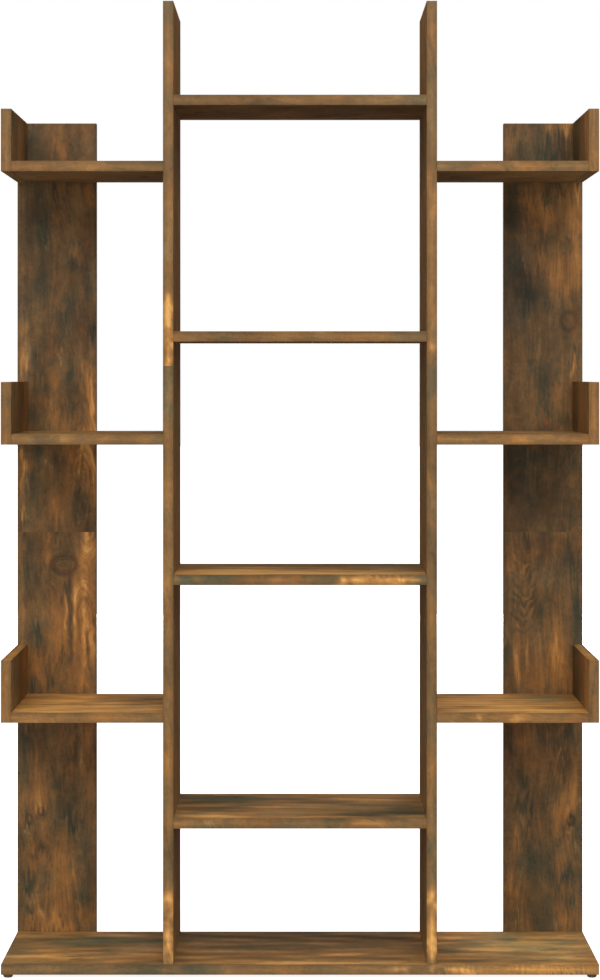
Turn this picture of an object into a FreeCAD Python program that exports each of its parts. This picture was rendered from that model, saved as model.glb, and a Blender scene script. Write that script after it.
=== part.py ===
import FreeCAD
import Part
import os
from math import cos, pi, sin

# Open bookcase of laminated boards: a centre column of four shelves between two uprights, three
# trays on either side of it, and two narrow back boards that tie the trays to the base board.
# Millimetres, +Z up, front towards -Y, origin at the middle of the footprint on the floor.
# The boards butt against each other and come apart: each shelf end is drawn against its wall by
# one cam fitting and kept in line by dowels.

Vector = FreeCAD.Vector

# Boards
board_thickness = 15.0
board_depth = 240.0
bookcase_width = 860.0
centre_clear_width = 364.0
upright_above_shelf = 135.0
end_board_height = 90.0
back_board_width = 120.0
arris = 0.5

# Clear heights between the boards, from the base board upwards
lowest_centre_gap = 195.0
lower_centre_gap = 335.0
upper_centre_gap = 335.0
highest_centre_gap = 325.0
low_side_gap = 347.0
middle_side_gap = 385.0
high_side_gap = 378.0

# Dowels
dowel_radius = 4.0
dowel_length = 30.0
dowel_depth_in_wall = 10.0
dowel_edge_distance = 40.0

# Cam fittings: a bolt screwed into the wall, and a cam in a pocket that grips its head
cam_distance = 34.0
cam_radius = 7.3
cam_height = 12.0
cam_chamber_radius = 5.0
cam_chamber_offset = 0.5
cam_pocket_skin = 2.5
bolt_thread_length = 11.0
bolt_shank_length = 24.0
bolt_radius = 3.0
bolt_neck_radius = 2.0
bolt_head_radius = 3.4
bolt_head_length = 3.2
bolt_head_taper = 2.0
bolt_head_reach = 0.8
cover_disc_radius = 9.0
cover_disc_thickness = 0.6

# Screws up through the base board into the uprights
base_screw_length = 50.0
base_screw_head_radius = 5.0
base_screw_head_taper = 3.0
base_screw_radius = 2.5
base_screw_edge_distance = 50.0

# Screws forward through the back boards
back_screw_length = 40.0
back_screw_head_radius = 4.0
back_screw_head_taper = 2.4
back_screw_radius = 2.0
back_screw_edge_distance = 30.0

# Nail-on glides under the corners of the base board
glide_height = 5.0
glide_top_radius = 7.5
glide_foot_radius = 6.0
glide_edge_distance = 9.5
nail_length = 14.0
nail_radius = 1.0
nail_head_radius = 3.0
nail_head_thickness = 1.0
nail_head_recess = 1.4

# Fits
fit_clearance = 0.1
bore_clearance = 0.5
bottom_clearance = 0.5
overrun = 1.0

# The fittings are many and small, so their rounds are drawn with a few flats
fitting_sides = 8
glide_sides = 20

# Angles in degrees
half_turn = 180.0
quarter_turn = 90.0
cam_slot_start = 145.0
cam_slot_sweep = 225.0
cam_slot_steps = 3

# Places of the main planes
front_y = -(board_depth + board_thickness) / 2
rear_y = front_y + board_depth
back_y = rear_y + board_thickness
middle_y = (front_y + rear_y) / 2
front_dowel_y = front_y + dowel_edge_distance
rear_dowel_y = rear_y - dowel_edge_distance
half_width = bookcase_width / 2
inner_x = centre_clear_width / 2
outer_x = inner_x + board_thickness
tray_end_x = half_width - board_thickness
base_bottom = glide_height
base_top = base_bottom + board_thickness
half_board = board_thickness / 2


def shelf_undersides(gaps):
    """Heights of the undersides of shelves stacked above the base board with these clear gaps."""
    heights = []
    top = base_top
    for gap in gaps:
        heights.append(top + gap)
        top += gap + board_thickness
    return heights


centre_undersides = shelf_undersides(
    [lowest_centre_gap, lower_centre_gap, upper_centre_gap, highest_centre_gap])
tray_undersides = shelf_undersides([low_side_gap, middle_side_gap, high_side_gap])
centre_names = ["lowest", "lower", "upper", "highest"]
tray_names = ["low", "middle", "high"]
upright_top = centre_undersides[-1] + board_thickness + upright_above_shelf
back_board_top = tray_undersides[-1] + end_board_height


def board(low, high):
    """A board between two opposite corners, its four long arrises broken."""
    size = high - low
    box = Part.makeBox(size.x, size.y, size.z, low)
    longest = max(size.x, size.y, size.z)
    long_edges = [edge for edge in box.Edges if abs(edge.Length - longest) < arris]
    return box.makeChamfer(arris, long_edges)


def turned(stations, sides):
    """A round piece about the Z axis through the stations, each a height and a radius there."""
    rings = []
    for height, radius in stations:
        angles = [pi * (2 * side + 1) / sides for side in range(sides)]
        rings.append([Vector(radius * cos(a), radius * sin(a), height) for a in angles])
    faces = [Part.Face(Part.makePolygon(ring + ring[:1])) for ring in (rings[0], rings[-1])]
    for below, above in zip(rings, rings[1:]):
        for side in range(sides):
            after = (side + 1) % sides
            corners = [below[side], below[after], above[after], above[side], below[side]]
            faces.append(Part.Face(Part.makePolygon(corners)))
    solid = Part.Solid(Part.Shell(faces))
    if solid.Volume < 0:
        solid.reverse()
    return solid


def plug(radius, start, end):
    """A plain round bar about the Z axis from one height to another."""
    return turned([(start, radius), (end, radius)], fitting_sides)


def along_x(shape):
    """The shape with its Z axis laid along +X."""
    laid = shape.copy()
    laid.rotate(Vector(0, 0, 0), Vector(0, 1, 0), quarter_turn)
    return laid


def forwards(shape):
    """The shape with its Z axis laid along -Y, as a screw that is driven in from behind."""
    laid = shape.copy()
    laid.rotate(Vector(0, 0, 0), Vector(1, 0, 0), quarter_turn)
    return laid


def placed(shape, x, y, z, side=1):
    """A copy of the shape at this place, turned round to point along -X where side is -1."""
    copy = shape.copy()
    if side < 0:
        copy.rotate(Vector(0, 0, 0), Vector(0, 0, 1), half_turn)
    copy.translate(Vector(x, y, z))
    return copy


# Fittings of a shelf end, about the axis of the bolt: the wall's face is at zero, and the shelf
# lies towards +X.

def dowel():
    return along_x(plug(dowel_radius, -dowel_depth_in_wall, dowel_length - dowel_depth_in_wall))


def dowel_hole():
    """The hole across the joint that holds one dowel, a little deeper at both of its ends."""
    start = -dowel_depth_in_wall - bottom_clearance
    end = dowel_length - dowel_depth_in_wall + bottom_clearance
    return along_x(plug(dowel_radius + fit_clearance, start, end))


def cam_bolt():
    """Thread in the wall, shank in the shelf, a thin neck and the tapered head that the cam grips."""
    head_end = cam_distance + bolt_head_reach
    head_start = head_end - bolt_head_length
    stations = [
        (-bolt_thread_length, bolt_radius),
        (bolt_shank_length, bolt_radius),
        (bolt_shank_length, bolt_neck_radius),
        (head_start - bolt_head_taper, bolt_neck_radius),
        (head_start, bolt_head_radius),
        (head_end, bolt_head_radius),
    ]
    return along_x(turned(stations, fitting_sides))


def bolt_hole_in_wall():
    depth = bolt_thread_length + bottom_clearance
    return along_x(plug(bolt_radius + fit_clearance, -depth, 0))


def bolt_bore_in_shelf():
    return along_x(plug(bolt_radius + bore_clearance, 0, cam_distance))


def cam_pocket():
    """The blind pocket from the shelf's underside that holds the cam."""
    pocket = plug(cam_radius + fit_clearance, -half_board - overrun, half_board - cam_pocket_skin)
    return placed(pocket, cam_distance, 0, 0)


def cam():
    """A drum with an eccentric chamber for the bolt's head and a slot that lets the neck pass.

    The head goes in at the hole that faces +X here, and half a turn then brings the slot's far
    end, where the chamber lies closest to the rim, round to the neck.
    """
    drum = plug(cam_radius, -half_board, cam_height - half_board)
    chamber_reach = bolt_head_radius + bore_clearance
    chamber = plug(cam_chamber_radius, -chamber_reach, chamber_reach)
    chamber.translate(Vector(cam_chamber_offset, 0, 0))
    slot_radius = 2 * cam_radius
    slot_half_height = bolt_neck_radius + bore_clearance / 2
    rim = [Vector(0, 0, -slot_half_height)]
    for step in range(cam_slot_steps + 1):
        angle = (cam_slot_start + cam_slot_sweep * step / cam_slot_steps) * pi / half_turn
        rim.append(Vector(slot_radius * cos(angle), slot_radius * sin(angle), -slot_half_height))
    slot = Part.Face(Part.makePolygon(rim + rim[:1])).extrude(Vector(0, 0, 2 * slot_half_height))
    entry = along_x(plug(bolt_head_radius + fit_clearance, 0, slot_radius))
    return placed(drum.cut([chamber, slot, entry]), cam_distance, 0, 0)


def cover_disc():
    """The thin disc that is stuck over the cam on the shelf's underside."""
    disc = plug(cover_disc_radius, -half_board - cover_disc_thickness, -half_board)
    return placed(disc, cam_distance, 0, 0)


# Fittings that stand or lie alone, about their own axis: zero is the face that the head is sunk in.

def countersunk(length, head_radius, head_taper, radius):
    """A countersunk screw, or the hole that takes one."""
    stations = [(0, head_radius), (head_taper, radius), (length, radius)]
    return turned(stations, fitting_sides)


def base_screw(spare=0, clearance=0):
    """A screw that stands in the base board; its hole is longer by the spare and wider all round."""
    return countersunk(base_screw_length + spare, base_screw_head_radius + clearance,
                       base_screw_head_taper, base_screw_radius + clearance)


def back_screw(spare=0, clearance=0):
    """A screw that lies in a back board, with its head to the rear; its hole is made the same way."""
    screw = countersunk(back_screw_length + spare, back_screw_head_radius + clearance,
                        back_screw_head_taper, back_screw_radius + clearance)
    return forwards(screw)


def glide():
    """A tapered glide that stands on zero, with a stepped hole for its nail."""
    body = turned([(0, glide_foot_radius), (glide_height, glide_top_radius)], glide_sides)
    seat = nail_head_recess + nail_head_thickness
    recess = plug(nail_head_radius + fit_clearance, 0, seat)
    shank_hole = plug(nail_radius + fit_clearance, seat, glide_height)
    return body.cut([recess, shank_hole])


def glide_nail():
    stations = [
        (nail_head_recess, nail_head_radius),
        (nail_head_recess + nail_head_thickness, nail_head_radius),
        (nail_head_recess + nail_head_thickness, nail_radius),
        (nail_head_recess + nail_length, nail_radius),
    ]
    return turned(stations, fitting_sides)


def nail_hole():
    """The pilot hole of a glide's nail in the base board."""
    top = nail_head_recess + nail_length + bottom_clearance
    return plug(nail_radius + fit_clearance, glide_height, top)


# The boards as cut to size, and what is drilled in each

boards = {}
drilled = {}
fittings = {
    "shelf_dowels": [],
    "cam_bolts": [],
    "cam_locks": [],
    "cam_cover_discs": [],
    "base_screws": [],
    "back_board_screws": [],
    "glide_nails": [],
}
glides = {}


def add_board(name, x0, x1, y0, y1, z0, z1):
    low = Vector(min(x0, x1), y0, z0)
    high = Vector(max(x0, x1), y1, z1)
    boards[name] = board(low, high)
    drilled[name] = []


def join_end(shelf, wall, x, underside, side, dowel_places):
    """One butt joint: the shelf's end against the wall's face at x, with the shelf towards side."""
    z = underside + half_board
    for y in dowel_places:
        fittings["shelf_dowels"].append(placed(dowel(), x, y, z, side))
        hole = placed(dowel_hole(), x, y, z, side)
        drilled[shelf].append(hole)
        drilled[wall].append(hole)
    fittings["cam_bolts"].append(placed(cam_bolt(), x, middle_y, z, side))
    fittings["cam_locks"].append(placed(cam(), x, middle_y, z, side))
    fittings["cam_cover_discs"].append(placed(cover_disc(), x, middle_y, z, side))
    drilled[wall].append(placed(bolt_hole_in_wall(), x, middle_y, z, side))
    drilled[shelf].append(placed(bolt_bore_in_shelf(), x, middle_y, z, side))
    drilled[shelf].append(placed(cam_pocket(), x, middle_y, z, side))


def stand_upright(upright, side):
    """One upright on the base board, held by two screws from below."""
    x = side * (inner_x + half_board)
    for y in (front_y + base_screw_edge_distance, rear_y - base_screw_edge_distance):
        fittings["base_screws"].append(placed(base_screw(), x, y, base_bottom))
        hole = placed(base_screw(bottom_clearance, fit_clearance), x, y, base_bottom)
        drilled["base_board"].append(hole)
        drilled[upright].append(hole)


def drive_back_screw(back_board, holder, x, z):
    """One screw through a back board into the rear edge of the board that it holds."""
    fittings["back_board_screws"].append(placed(back_screw(), x, back_y, z))
    hole = placed(back_screw(bottom_clearance, fit_clearance), x, back_y, z)
    drilled[back_board].append(hole)
    drilled[holder].append(hole)


def add_tray(hand, side, name, underside):
    """A side shelf and its end board, joined to the upright and to the back board."""
    shelf = name + "_" + hand + "_shelf"
    end_board = name + "_" + hand + "_end_board"
    end_x = side * half_width
    add_board(shelf, side * outer_x, side * tray_end_x, front_y, rear_y,
              underside, underside + board_thickness)
    add_board(end_board, side * tray_end_x, end_x, front_y, rear_y,
              underside, underside + end_board_height)
    join_end(shelf, hand + "_upright", side * outer_x, underside, side, [front_dowel_y, rear_dowel_y])
    join_end(shelf, end_board, side * tray_end_x, underside, -side, [front_dowel_y])
    screw_x = side * (half_width - back_board_width + back_screw_edge_distance)
    drive_back_screw(hand + "_back_board", shelf, screw_x, underside + half_board)
    drive_back_screw(hand + "_back_board", end_board, side * (half_width - half_board),
                     underside + end_board_height / 2)


def add_side(hand, side):
    """The upright, the back board and the trays of one side."""
    upright = hand + "_upright"
    back_board = hand + "_back_board"
    add_board(upright, side * inner_x, side * outer_x, front_y, rear_y, base_top, upright_top)
    stand_upright(upright, side)
    back_x = side * (half_width - back_board_width)
    add_board(back_board, back_x, side * half_width, rear_y, back_y, base_bottom, back_board_top)
    for x in (half_width - back_board_width + back_screw_edge_distance,
              half_width - back_screw_edge_distance):
        drive_back_screw(back_board, "base_board", side * x, base_bottom + half_board)
    for name, underside in zip(tray_names, tray_undersides):
        add_tray(hand, side, name, underside)


def add_centre_shelves():
    """The four shelves between the uprights."""
    for name, underside in zip(centre_names, centre_undersides):
        shelf = name + "_centre_shelf"
        add_board(shelf, -inner_x, inner_x, front_y, rear_y,
                  underside, underside + board_thickness)
        join_end(shelf, "left_upright", -inner_x, underside, 1, [front_dowel_y, rear_dowel_y])
        join_end(shelf, "right_upright", inner_x, underside, -1, [front_dowel_y, rear_dowel_y])


def add_glides():
    """A glide nailed under each corner of the base board."""
    for hand, side in (("left", -1), ("right", 1)):
        x = side * (half_width - glide_edge_distance)
        for end, y in (("front", front_y + glide_edge_distance),
                       ("rear", rear_y - glide_edge_distance)):
            glides[end + "_" + hand + "_glide"] = placed(glide(), x, y, 0)
            fittings["glide_nails"].append(placed(glide_nail(), x, y, 0))
            drilled["base_board"].append(placed(nail_hole(), x, y, 0))


def build():
    """Every node of the bookcase by name."""
    add_board("base_board", -half_width, half_width, front_y, rear_y, base_bottom, base_top)
    add_side("left", -1)
    add_side("right", 1)
    add_centre_shelves()
    add_glides()
    nodes = {name: shape.cut(drilled[name]) for name, shape in boards.items()}
    nodes.update(glides)
    for name, solids in fittings.items():
        nodes[name] = Part.makeCompound(solids)
    return nodes


os.makedirs("parts", exist_ok=True)
for node_name, node_shape in build().items():
    node_shape.exportStep("parts/" + node_name + ".step")
    print(node_name, len(node_shape.Solids), round(node_shape.Volume), node_shape.isValid())
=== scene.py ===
import math

import bpy
import numpy as np
from bpy.props import FloatProperty, FloatVectorProperty, IntProperty, PointerProperty
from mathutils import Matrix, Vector


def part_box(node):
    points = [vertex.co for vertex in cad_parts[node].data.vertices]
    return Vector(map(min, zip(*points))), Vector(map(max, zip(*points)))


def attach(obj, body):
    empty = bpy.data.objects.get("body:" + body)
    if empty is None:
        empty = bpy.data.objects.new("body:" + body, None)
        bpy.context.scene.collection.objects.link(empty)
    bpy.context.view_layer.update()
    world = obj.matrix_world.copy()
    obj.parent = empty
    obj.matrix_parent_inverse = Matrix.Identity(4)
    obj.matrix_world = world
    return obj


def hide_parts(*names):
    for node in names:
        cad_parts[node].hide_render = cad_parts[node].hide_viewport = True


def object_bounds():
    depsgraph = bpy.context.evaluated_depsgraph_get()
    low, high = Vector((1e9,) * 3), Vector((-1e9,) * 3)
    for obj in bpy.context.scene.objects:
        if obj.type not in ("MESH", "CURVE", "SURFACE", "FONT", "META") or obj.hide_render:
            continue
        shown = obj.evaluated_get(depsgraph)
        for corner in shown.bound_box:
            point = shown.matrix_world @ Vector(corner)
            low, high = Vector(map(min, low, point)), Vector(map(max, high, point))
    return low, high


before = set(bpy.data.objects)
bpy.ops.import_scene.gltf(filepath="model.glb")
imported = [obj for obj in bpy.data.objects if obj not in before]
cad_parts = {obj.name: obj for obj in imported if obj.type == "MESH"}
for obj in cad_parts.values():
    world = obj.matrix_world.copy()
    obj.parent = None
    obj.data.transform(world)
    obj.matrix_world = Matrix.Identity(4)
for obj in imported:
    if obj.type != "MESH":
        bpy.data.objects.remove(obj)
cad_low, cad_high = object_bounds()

bl_info = {
    "name": "Smoked Oak Bookcase",
    "version": (1, 0, 0),
    "blender": (4, 5, 0),
    "location": "3D View > Sidebar > Bookcase",
    "description": "Dresses an open bookcase in smoked oak decor, with its edge bands, fittings and studio",
    "category": "Object",
}

MM = 0.001
X_AXIS, Y_AXIS, Z_AXIS = 0, 1, 2

# The boards by kind, each with the tone and the warmth of its print: how light it is and how orange, both
# from 0 to 1.

BACK_BOARDS = {
    "left_back_board": (0.54, 0.64),
    "right_back_board": (0.53, 0.62),
}
UPRIGHTS = {
    "left_upright": (0.54, 0.64),
    "right_upright": (0.54, 0.64),
}
BASE_BOARDS = {
    "base_board": (0.635, 0.60),
}
CENTRE_SHELVES = {
    "lowest_centre_shelf": (0.62, 0.60),
    "lower_centre_shelf": (0.66, 0.66),
    "upper_centre_shelf": (0.62, 0.68),
    "highest_centre_shelf": (0.62, 0.72),
}
SIDE_SHELVES = {
    "low_left_shelf": (0.72, 0.78),
    "middle_left_shelf": (0.63, 0.64),
    "high_left_shelf": (0.62, 0.68),
    "low_right_shelf": (0.73, 0.80),
    "middle_right_shelf": (0.63, 0.64),
    "high_right_shelf": (0.62, 0.62),
}
END_BOARDS = {
    "low_left_end_board": (0.50, 0.68),
    "middle_left_end_board": (0.50, 0.72),
    "high_left_end_board": (0.50, 0.68),
    "low_right_end_board": (0.50, 0.70),
    "middle_right_end_board": (0.50, 0.80),
    "high_right_end_board": (0.50, 0.68),
}

# Kinds of patch: what each adds to the warmth, the tone and the figure at its middle. Most are the smoked
# print's own clouds; the patches marked below paint light or shade.
SMOKE = (-0.50, -0.11, -0.08)
MOSS = (-0.40, -0.02, -0.05)
OLIVE = (-0.28, -0.04, -0.05)
UMBER = (-0.12, -0.15, 0.0)
# Darkens the tone: the print's own darker clouds, and painted shade on one shelf's underside.
DUSK = (0.0, -0.06, 0.0)
# Painted light: a lighter tone laid over the shade that falls on the back boards next to the trays and the
# base, and on a low end board's top band.
PAINTED_LIGHT = (0.0, 0.07, 0.0)
GLOW = (0.15, 0.05, 0.05)
EMBER = (0.30, 0.10, 0.12)
BLAZE = (0.40, 0.18, 0.42)
FLARE = (0.45, 0.34, 0.24)
TAN = (-0.05, 0.12, 0.08)
FLECK = (0.0, 0.20, 0.0)
RUST = (0.34, 0.0, 0.0)

# How steeply a patch ends: the power of its squared distance in the bell.
PATCH_FALL = 1.3

# Patches by board, face and kind: millimetres across and along the grain from the face's low corner, and the
# half width and half length of the patch.
PATCHES = {
    ("left_back_board", "front"): {
        # Painted light: the first kind of patch lightens the shade just below and above the trays.
        PAINTED_LIGHT: (
            (62, 1138, 90, 26), (92, 1104, 30, 24), (62, 690, 90, 66), (50, 735, 50, 20),
            (108, 612, 14, 12), (62, 388, 90, 18), (90, 298, 44, 36), (106, 300, 20, 30),
            (20, 230, 30, 28), (36, 32, 60, 20)),
        DUSK: (
            (14, 1020, 24, 28), (18, 960, 34, 34), (104, 930, 20, 40), (48, 526, 44, 26),
            (104, 436, 16, 26)),
        BLAZE: (
            (104, 734, 18, 22), (112, 822, 9, 54), (114, 800, 5, 34), (108, 742, 11, 21),
            (115, 708, 6, 30), (8, 716, 5, 34), (106, 594, 13, 30), (89, 508, 4, 38), (74, 498, 3, 18),
            (101, 482, 5, 90), (113, 459, 4, 38)),
        EMBER: (
            (104, 582, 18, 44), (87, 1051, 9, 12), (8, 890, 6, 21), (98, 862, 6, 21), (56, 798, 14, 23),
            (8, 650, 5, 16), (58, 657, 9, 27), (7, 646, 5, 12), (46, 599, 6, 24), (65, 482, 12, 43),
            (103, 474, 17, 90), (31, 410, 8, 23), (33, 225, 20, 42), (68, 86, 24, 66), (48, 30, 18, 18),
            (75, 19, 18, 9)),
        MOSS: ((16, 1222, 20, 40), (43, 1080, 14, 21), (28, 453, 12, 12), (98, 63, 8, 12)),
        GLOW: ((62, 1204, 14, 20), (100, 1140, 14, 20), (84, 760, 44, 90), (80, 510, 46, 110)),
        OLIVE: (
            (31, 1106, 27, 68), (37, 999, 14, 38), (110, 999, 9, 30), (77, 949, 27, 27),
            (81, 806, 8, 21), (27, 806, 11, 33), (31, 687, 12, 43), (93, 672, 14, 40),
            (34, 535, 18, 30), (7, 269, 8, 24), (68, 228, 15, 46), (106, 109, 9, 53)),
        SMOKE: (
            (57, 1147, 6, 9), (115, 928, 6, 18), (36, 865, 12, 21), (81, 842, 9, 27), (31, 737, 9, 27),
            (17, 588, 8, 33), (75, 532, 8, 14), (81, 482, 4, 46), (30, 474, 9, 14), (109, 441, 4, 21),
            (48, 404, 8, 17), (24, 392, 6, 9), (13, 310, 14, 21), (81, 188, 9, 15), (16, 183, 6, 9),
            (36, 136, 8, 8), (16, 91, 11, 12), (20, 43, 9, 8)),
        FLECK: (
            (42, 1066, 4, 5), (16, 893, 3, 9), (65, 893, 2, 5), (46, 733, 3, 4), (16, 693, 3, 8),
            (97, 273, 2, 15), (15, 165, 6, 3), (24, 142, 3, 5), (34, 42, 4, 6)),
        RUST: (
            (109, 1132, 7, 16), (104, 1042, 9, 15), (80, 1007, 9, 9), (52, 920, 8, 24),
            (54, 855, 6, 15), (68, 454, 8, 21), (65, 320, 5, 6), (106, 296, 12, 34), (79, 255, 5, 12),
            (14, 25, 6, 6)),
        TAN: ((8, 1007, 6, 36), (10, 923, 8, 38), (7, 512, 6, 52), (25, 66, 12, 6)),
        UMBER: (
            (62, 730, 9, 18), (95, 668, 9, 26), (60, 616, 8, 8), (68, 428, 4, 6), (89, 295, 3, 27),
            (36, 197, 8, 8), (51, 132, 4, 5), (68, 37, 5, 6)),
    },
    ("right_back_board", "front"): {
        # Painted light: the first kind of patch lightens the shade just below and above the trays.
        PAINTED_LIGHT: (
            (84, 1138, 40, 18), (106, 1090, 20, 74), (84, 828, 44, 38), (50, 742, 90, 18),
            (84, 392, 40, 22), (46, 282, 62, 44), (104, 162, 18, 30), (92, 34, 36, 24)),
        GLOW: (
            (108, 1076, 16, 60), (66, 1100, 34, 34), (90, 1020, 30, 40), (76, 958, 9, 27),
            (10, 599, 9, 21), (48, 599, 8, 18), (83, 599, 8, 18)),
        DUSK: ((26, 972, 38, 56), (20, 1000, 20, 30), (36, 592, 66, 24), (26, 62, 40, 30)),
        EMBER: (
            (72, 420, 32, 40), (69, 1233, 5, 8), (92, 1240, 26, 9), (41, 1129, 12, 12),
            (68, 1106, 18, 18), (112, 1068, 8, 61), (57, 1037, 9, 11), (89, 1007, 21, 30),
            (71, 1002, 6, 18), (89, 876, 3, 14), (82, 832, 8, 27), (6, 571, 6, 14), (80, 459, 15, 49),
            (79, 444, 8, 18), (30, 302, 8, 15), (110, 252, 6, 27), (98, 215, 14, 21), (83, 191, 9, 18),
            (19, 158, 6, 18), (9, 82, 5, 24), (89, 28, 12, 12)),
        BLAZE: ((95, 1237, 6, 6), (112, 1141, 6, 11), (106, 870, 3, 15), (21, 421, 5, 36)),
        TAN: ((12, 1217, 11, 16),),
        MOSS: ((58, 1198, 36, 22), (63, 1068, 12, 14)),
        UMBER: (
            (88, 1200, 32, 20), (89, 1138, 12, 8), (97, 1072, 3, 3), (101, 792, 6, 8), (6, 310, 8, 30),
            (25, 272, 4, 27), (103, 185, 6, 8)),
        SMOKE: (
            (62, 1135, 6, 6), (12, 1112, 10, 44), (15, 1037, 14, 34), (42, 995, 18, 27),
            (108, 897, 6, 11), (60, 847, 9, 27), (35, 604, 5, 12), (101, 591, 8, 21), (112, 497, 9, 34),
            (4, 428, 6, 49), (97, 310, 15, 21), (93, 263, 11, 21), (32, 240, 6, 12), (30, 206, 14, 11),
            (38, 164, 6, 8), (93, 94, 18, 11), (103, 45, 8, 8)),
        FLECK: (
            (30, 1030, 3, 5), (34, 421, 2, 12), (86, 287, 8, 3), (27, 186, 3, 9), (100, 170, 6, 3),
            (108, 142, 3, 6), (19, 39, 2, 15)),
        OLIVE: (
            (25, 968, 27, 34), (59, 812, 12, 8), (45, 739, 27, 15), (57, 695, 76, 70),
            (53, 512, 14, 17), (50, 115, 24, 33), (60, 40, 27, 33)),
        RUST: (
            (31, 876, 6, 10), (63, 791, 6, 11), (97, 401, 8, 12), (19, 246, 3, 15), (17, 135, 5, 14),
            (83, 126, 6, 12), (80, 59, 8, 12)),
    },
    ("left_upright", "front"): {
        TAN: ((8, 1022, 7, 20),),
        FLARE: ((8, 936, 8, 14), (10, 878, 7, 12), (8, 88, 10, 13), (8, 26, 12, 18)),
        EMBER: ((8, 905, 9, 30), (8, 52, 12, 14)),
        MOSS: ((8, 828, 12, 34), (10, 150, 7, 34)),
        GLOW: ((8, 290, 9, 16),),
    },
    ("right_upright", "front"): {
        MOSS: ((11, 1300, 5, 30), (6, 830, 8, 26), (8, 160, 7, 26)),
        GLOW: ((9, 884, 8, 14), (8, 270, 9, 26)),
        FLECK: ((10, 890, 3, 10),),
        FLARE: ((8, 88, 10, 13), (8, 26, 12, 18)),
        EMBER: ((8, 52, 12, 14),),
    },
    ("lower_centre_shelf", "front"): {
        MOSS: ((8, 14, 12, 20), (8, 208, 12, 20), (8, 356, 12, 12)),
        OLIVE: ((8, 50, 14, 60),),
        EMBER: ((8, 148, 6, 8),),
        FLARE: ((7, 241, 9, 10), (8, 270, 9, 15)),
        BLAZE: ((8, 306, 8, 26), (8, 330, 6, 12)),
    },
    ("lower_centre_shelf", "top"): {
        BLAZE: ((50, 90, 60, 130),),
        EMBER: ((30, 250, 40, 90),),
        UMBER: ((205, 200, 40, 150),),
        MOSS: ((200, 330, 50, 60),),
        SMOKE: ((110, 262, 14, 30),),
    },
    ("upper_centre_shelf", "front"): {
        DUSK: ((8, 96, 20, 60),),
        OLIVE: ((8, 352, 12, 44),),
        RUST: ((11, 40, 6, 26),),
    },
    ("highest_centre_shelf", "front"): {
        DUSK: ((8, 70, 20, 110), (4, 230, 5, 60)),
        UMBER: ((4, 118, 4, 24),),
        MOSS: ((8, 352, 12, 40),),
        RUST: ((10, 84, 5, 20),),
    },
    # Painted shade: darkens the whole underside of this shelf.
    ("highest_centre_shelf", "bottom"): {
        DUSK: ((120, 182, 260, 400), (20, 182, 70, 300)),
    },
    # The end boards' inner faces: bands over their whole height, mostly darker towards the rear.
    ("high_left_end_board", "right"): {
        OLIVE: ((40, 60, 60, 140),),
        UMBER: ((208, 60, 36, 140),),
    },
    ("middle_left_end_board", "right"): {
        OLIVE: ((44, 60, 56, 140),),
        UMBER: ((136, 60, 40, 140),),
        TAN: ((224, 60, 20, 140),),
    },
    ("low_left_end_board", "right"): {
        OLIVE: ((50, 60, 50, 140),),
        UMBER: ((132, 60, 50, 140),),
        RUST: ((214, 60, 28, 140),),
    },
    # Painted light: these patches lighten the top band, for the light that falls on it from above.
    ("low_left_end_board", "top"): {
        EMBER: ((8, 60, 14, 110),),
        TAN: ((8, 70, 14, 160),),
    },
    ("high_right_end_board", "left"): {
        EMBER: ((30, 60, 34, 140),),
        UMBER: ((180, 60, 70, 140),),
        OLIVE: ((200, 60, 60, 140),),
    },
    ("middle_right_end_board", "left"): {
        GLOW: ((100, 60, 50, 140),),
        UMBER: ((204, 60, 50, 140),),
    },
    ("low_right_end_board", "left"): {
        EMBER: ((30, 60, 30, 140),),
        UMBER: ((190, 60, 60, 140),),
        OLIVE: ((190, 60, 70, 140),),
    },
    # Painted light: these patches lighten the top band, for the light that falls on it from above.
    ("low_right_end_board", "top"): {
        EMBER: ((8, 40, 14, 80),),
        PAINTED_LIGHT: ((8, 170, 14, 80),),
        TAN: ((8, 90, 14, 160),),
    },
    ("high_left_shelf", "front"): {
        GLOW: ((8, 124, 12, 22),),
        DUSK: ((8, 30, 14, 40), (8, 186, 14, 40)),
    },
    ("middle_left_shelf", "front"): {
        TAN: ((9, 30, 5, 9), (9, 62, 5, 8)),
        GLOW: ((8, 124, 12, 22),),
        DUSK: ((8, 176, 14, 20),),
    },
    ("high_right_shelf", "front"): {
        GLOW: ((8, 20, 12, 24), (8, 128, 12, 20)),
        DUSK: ((8, 86, 14, 20),),
    },
    ("middle_right_shelf", "front"): {
        GLOW: ((8, 50, 12, 18),),
        EMBER: ((8, 125, 12, 22),),
    },
    ("lowest_centre_shelf", "front"): {
        FLECK: ((10, 60, 4, 12),),
        MOSS: ((4, 44, 5, 14), (12, 232, 4, 18)),
        EMBER: ((8, 268, 6, 22),),
    },
    ("lowest_centre_shelf", "top"): {
        SMOKE: ((185, 60, 34, 60), (80, 338, 38, 30), (35, 262, 16, 26)),
        MOSS: ((100, 70, 18, 50),),
        BLAZE: ((14, 62, 14, 62),),
        GLOW: ((44, 24, 26, 34),),
        UMBER: ((40, 318, 30, 56), (150, 180, 10, 80)),
        EMBER: ((190, 300, 28, 60), (10, 200, 10, 60)),
    },
    ("low_left_shelf", "top"): {
        EMBER: ((60, 50, 70, 80), (160, 60, 50, 50), (40, 160, 50, 60)),
        UMBER: ((100, 175, 7, 36), (106, 92, 4, 22), (72, 40, 4, 14), (200, 165, 34, 60)),
    },
    ("low_right_shelf", "top"): {
        EMBER: ((90, 60, 90, 90),),
        BLAZE: ((24, 150, 22, 70),),
        UMBER: ((72, 36, 4, 14), (92, 150, 6, 26)),
        MOSS: ((165, 172, 50, 46),),
    },
    ("low_left_shelf", "front"): {
        OLIVE: ((12, 60, 6, 60),),
        GLOW: ((8, 40, 14, 56),),
        EMBER: ((8, 124, 12, 24),),
        FLECK: ((4, 70, 4, 5), (3, 30, 4, 8)),
    },
    ("low_right_shelf", "front"): {
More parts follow.
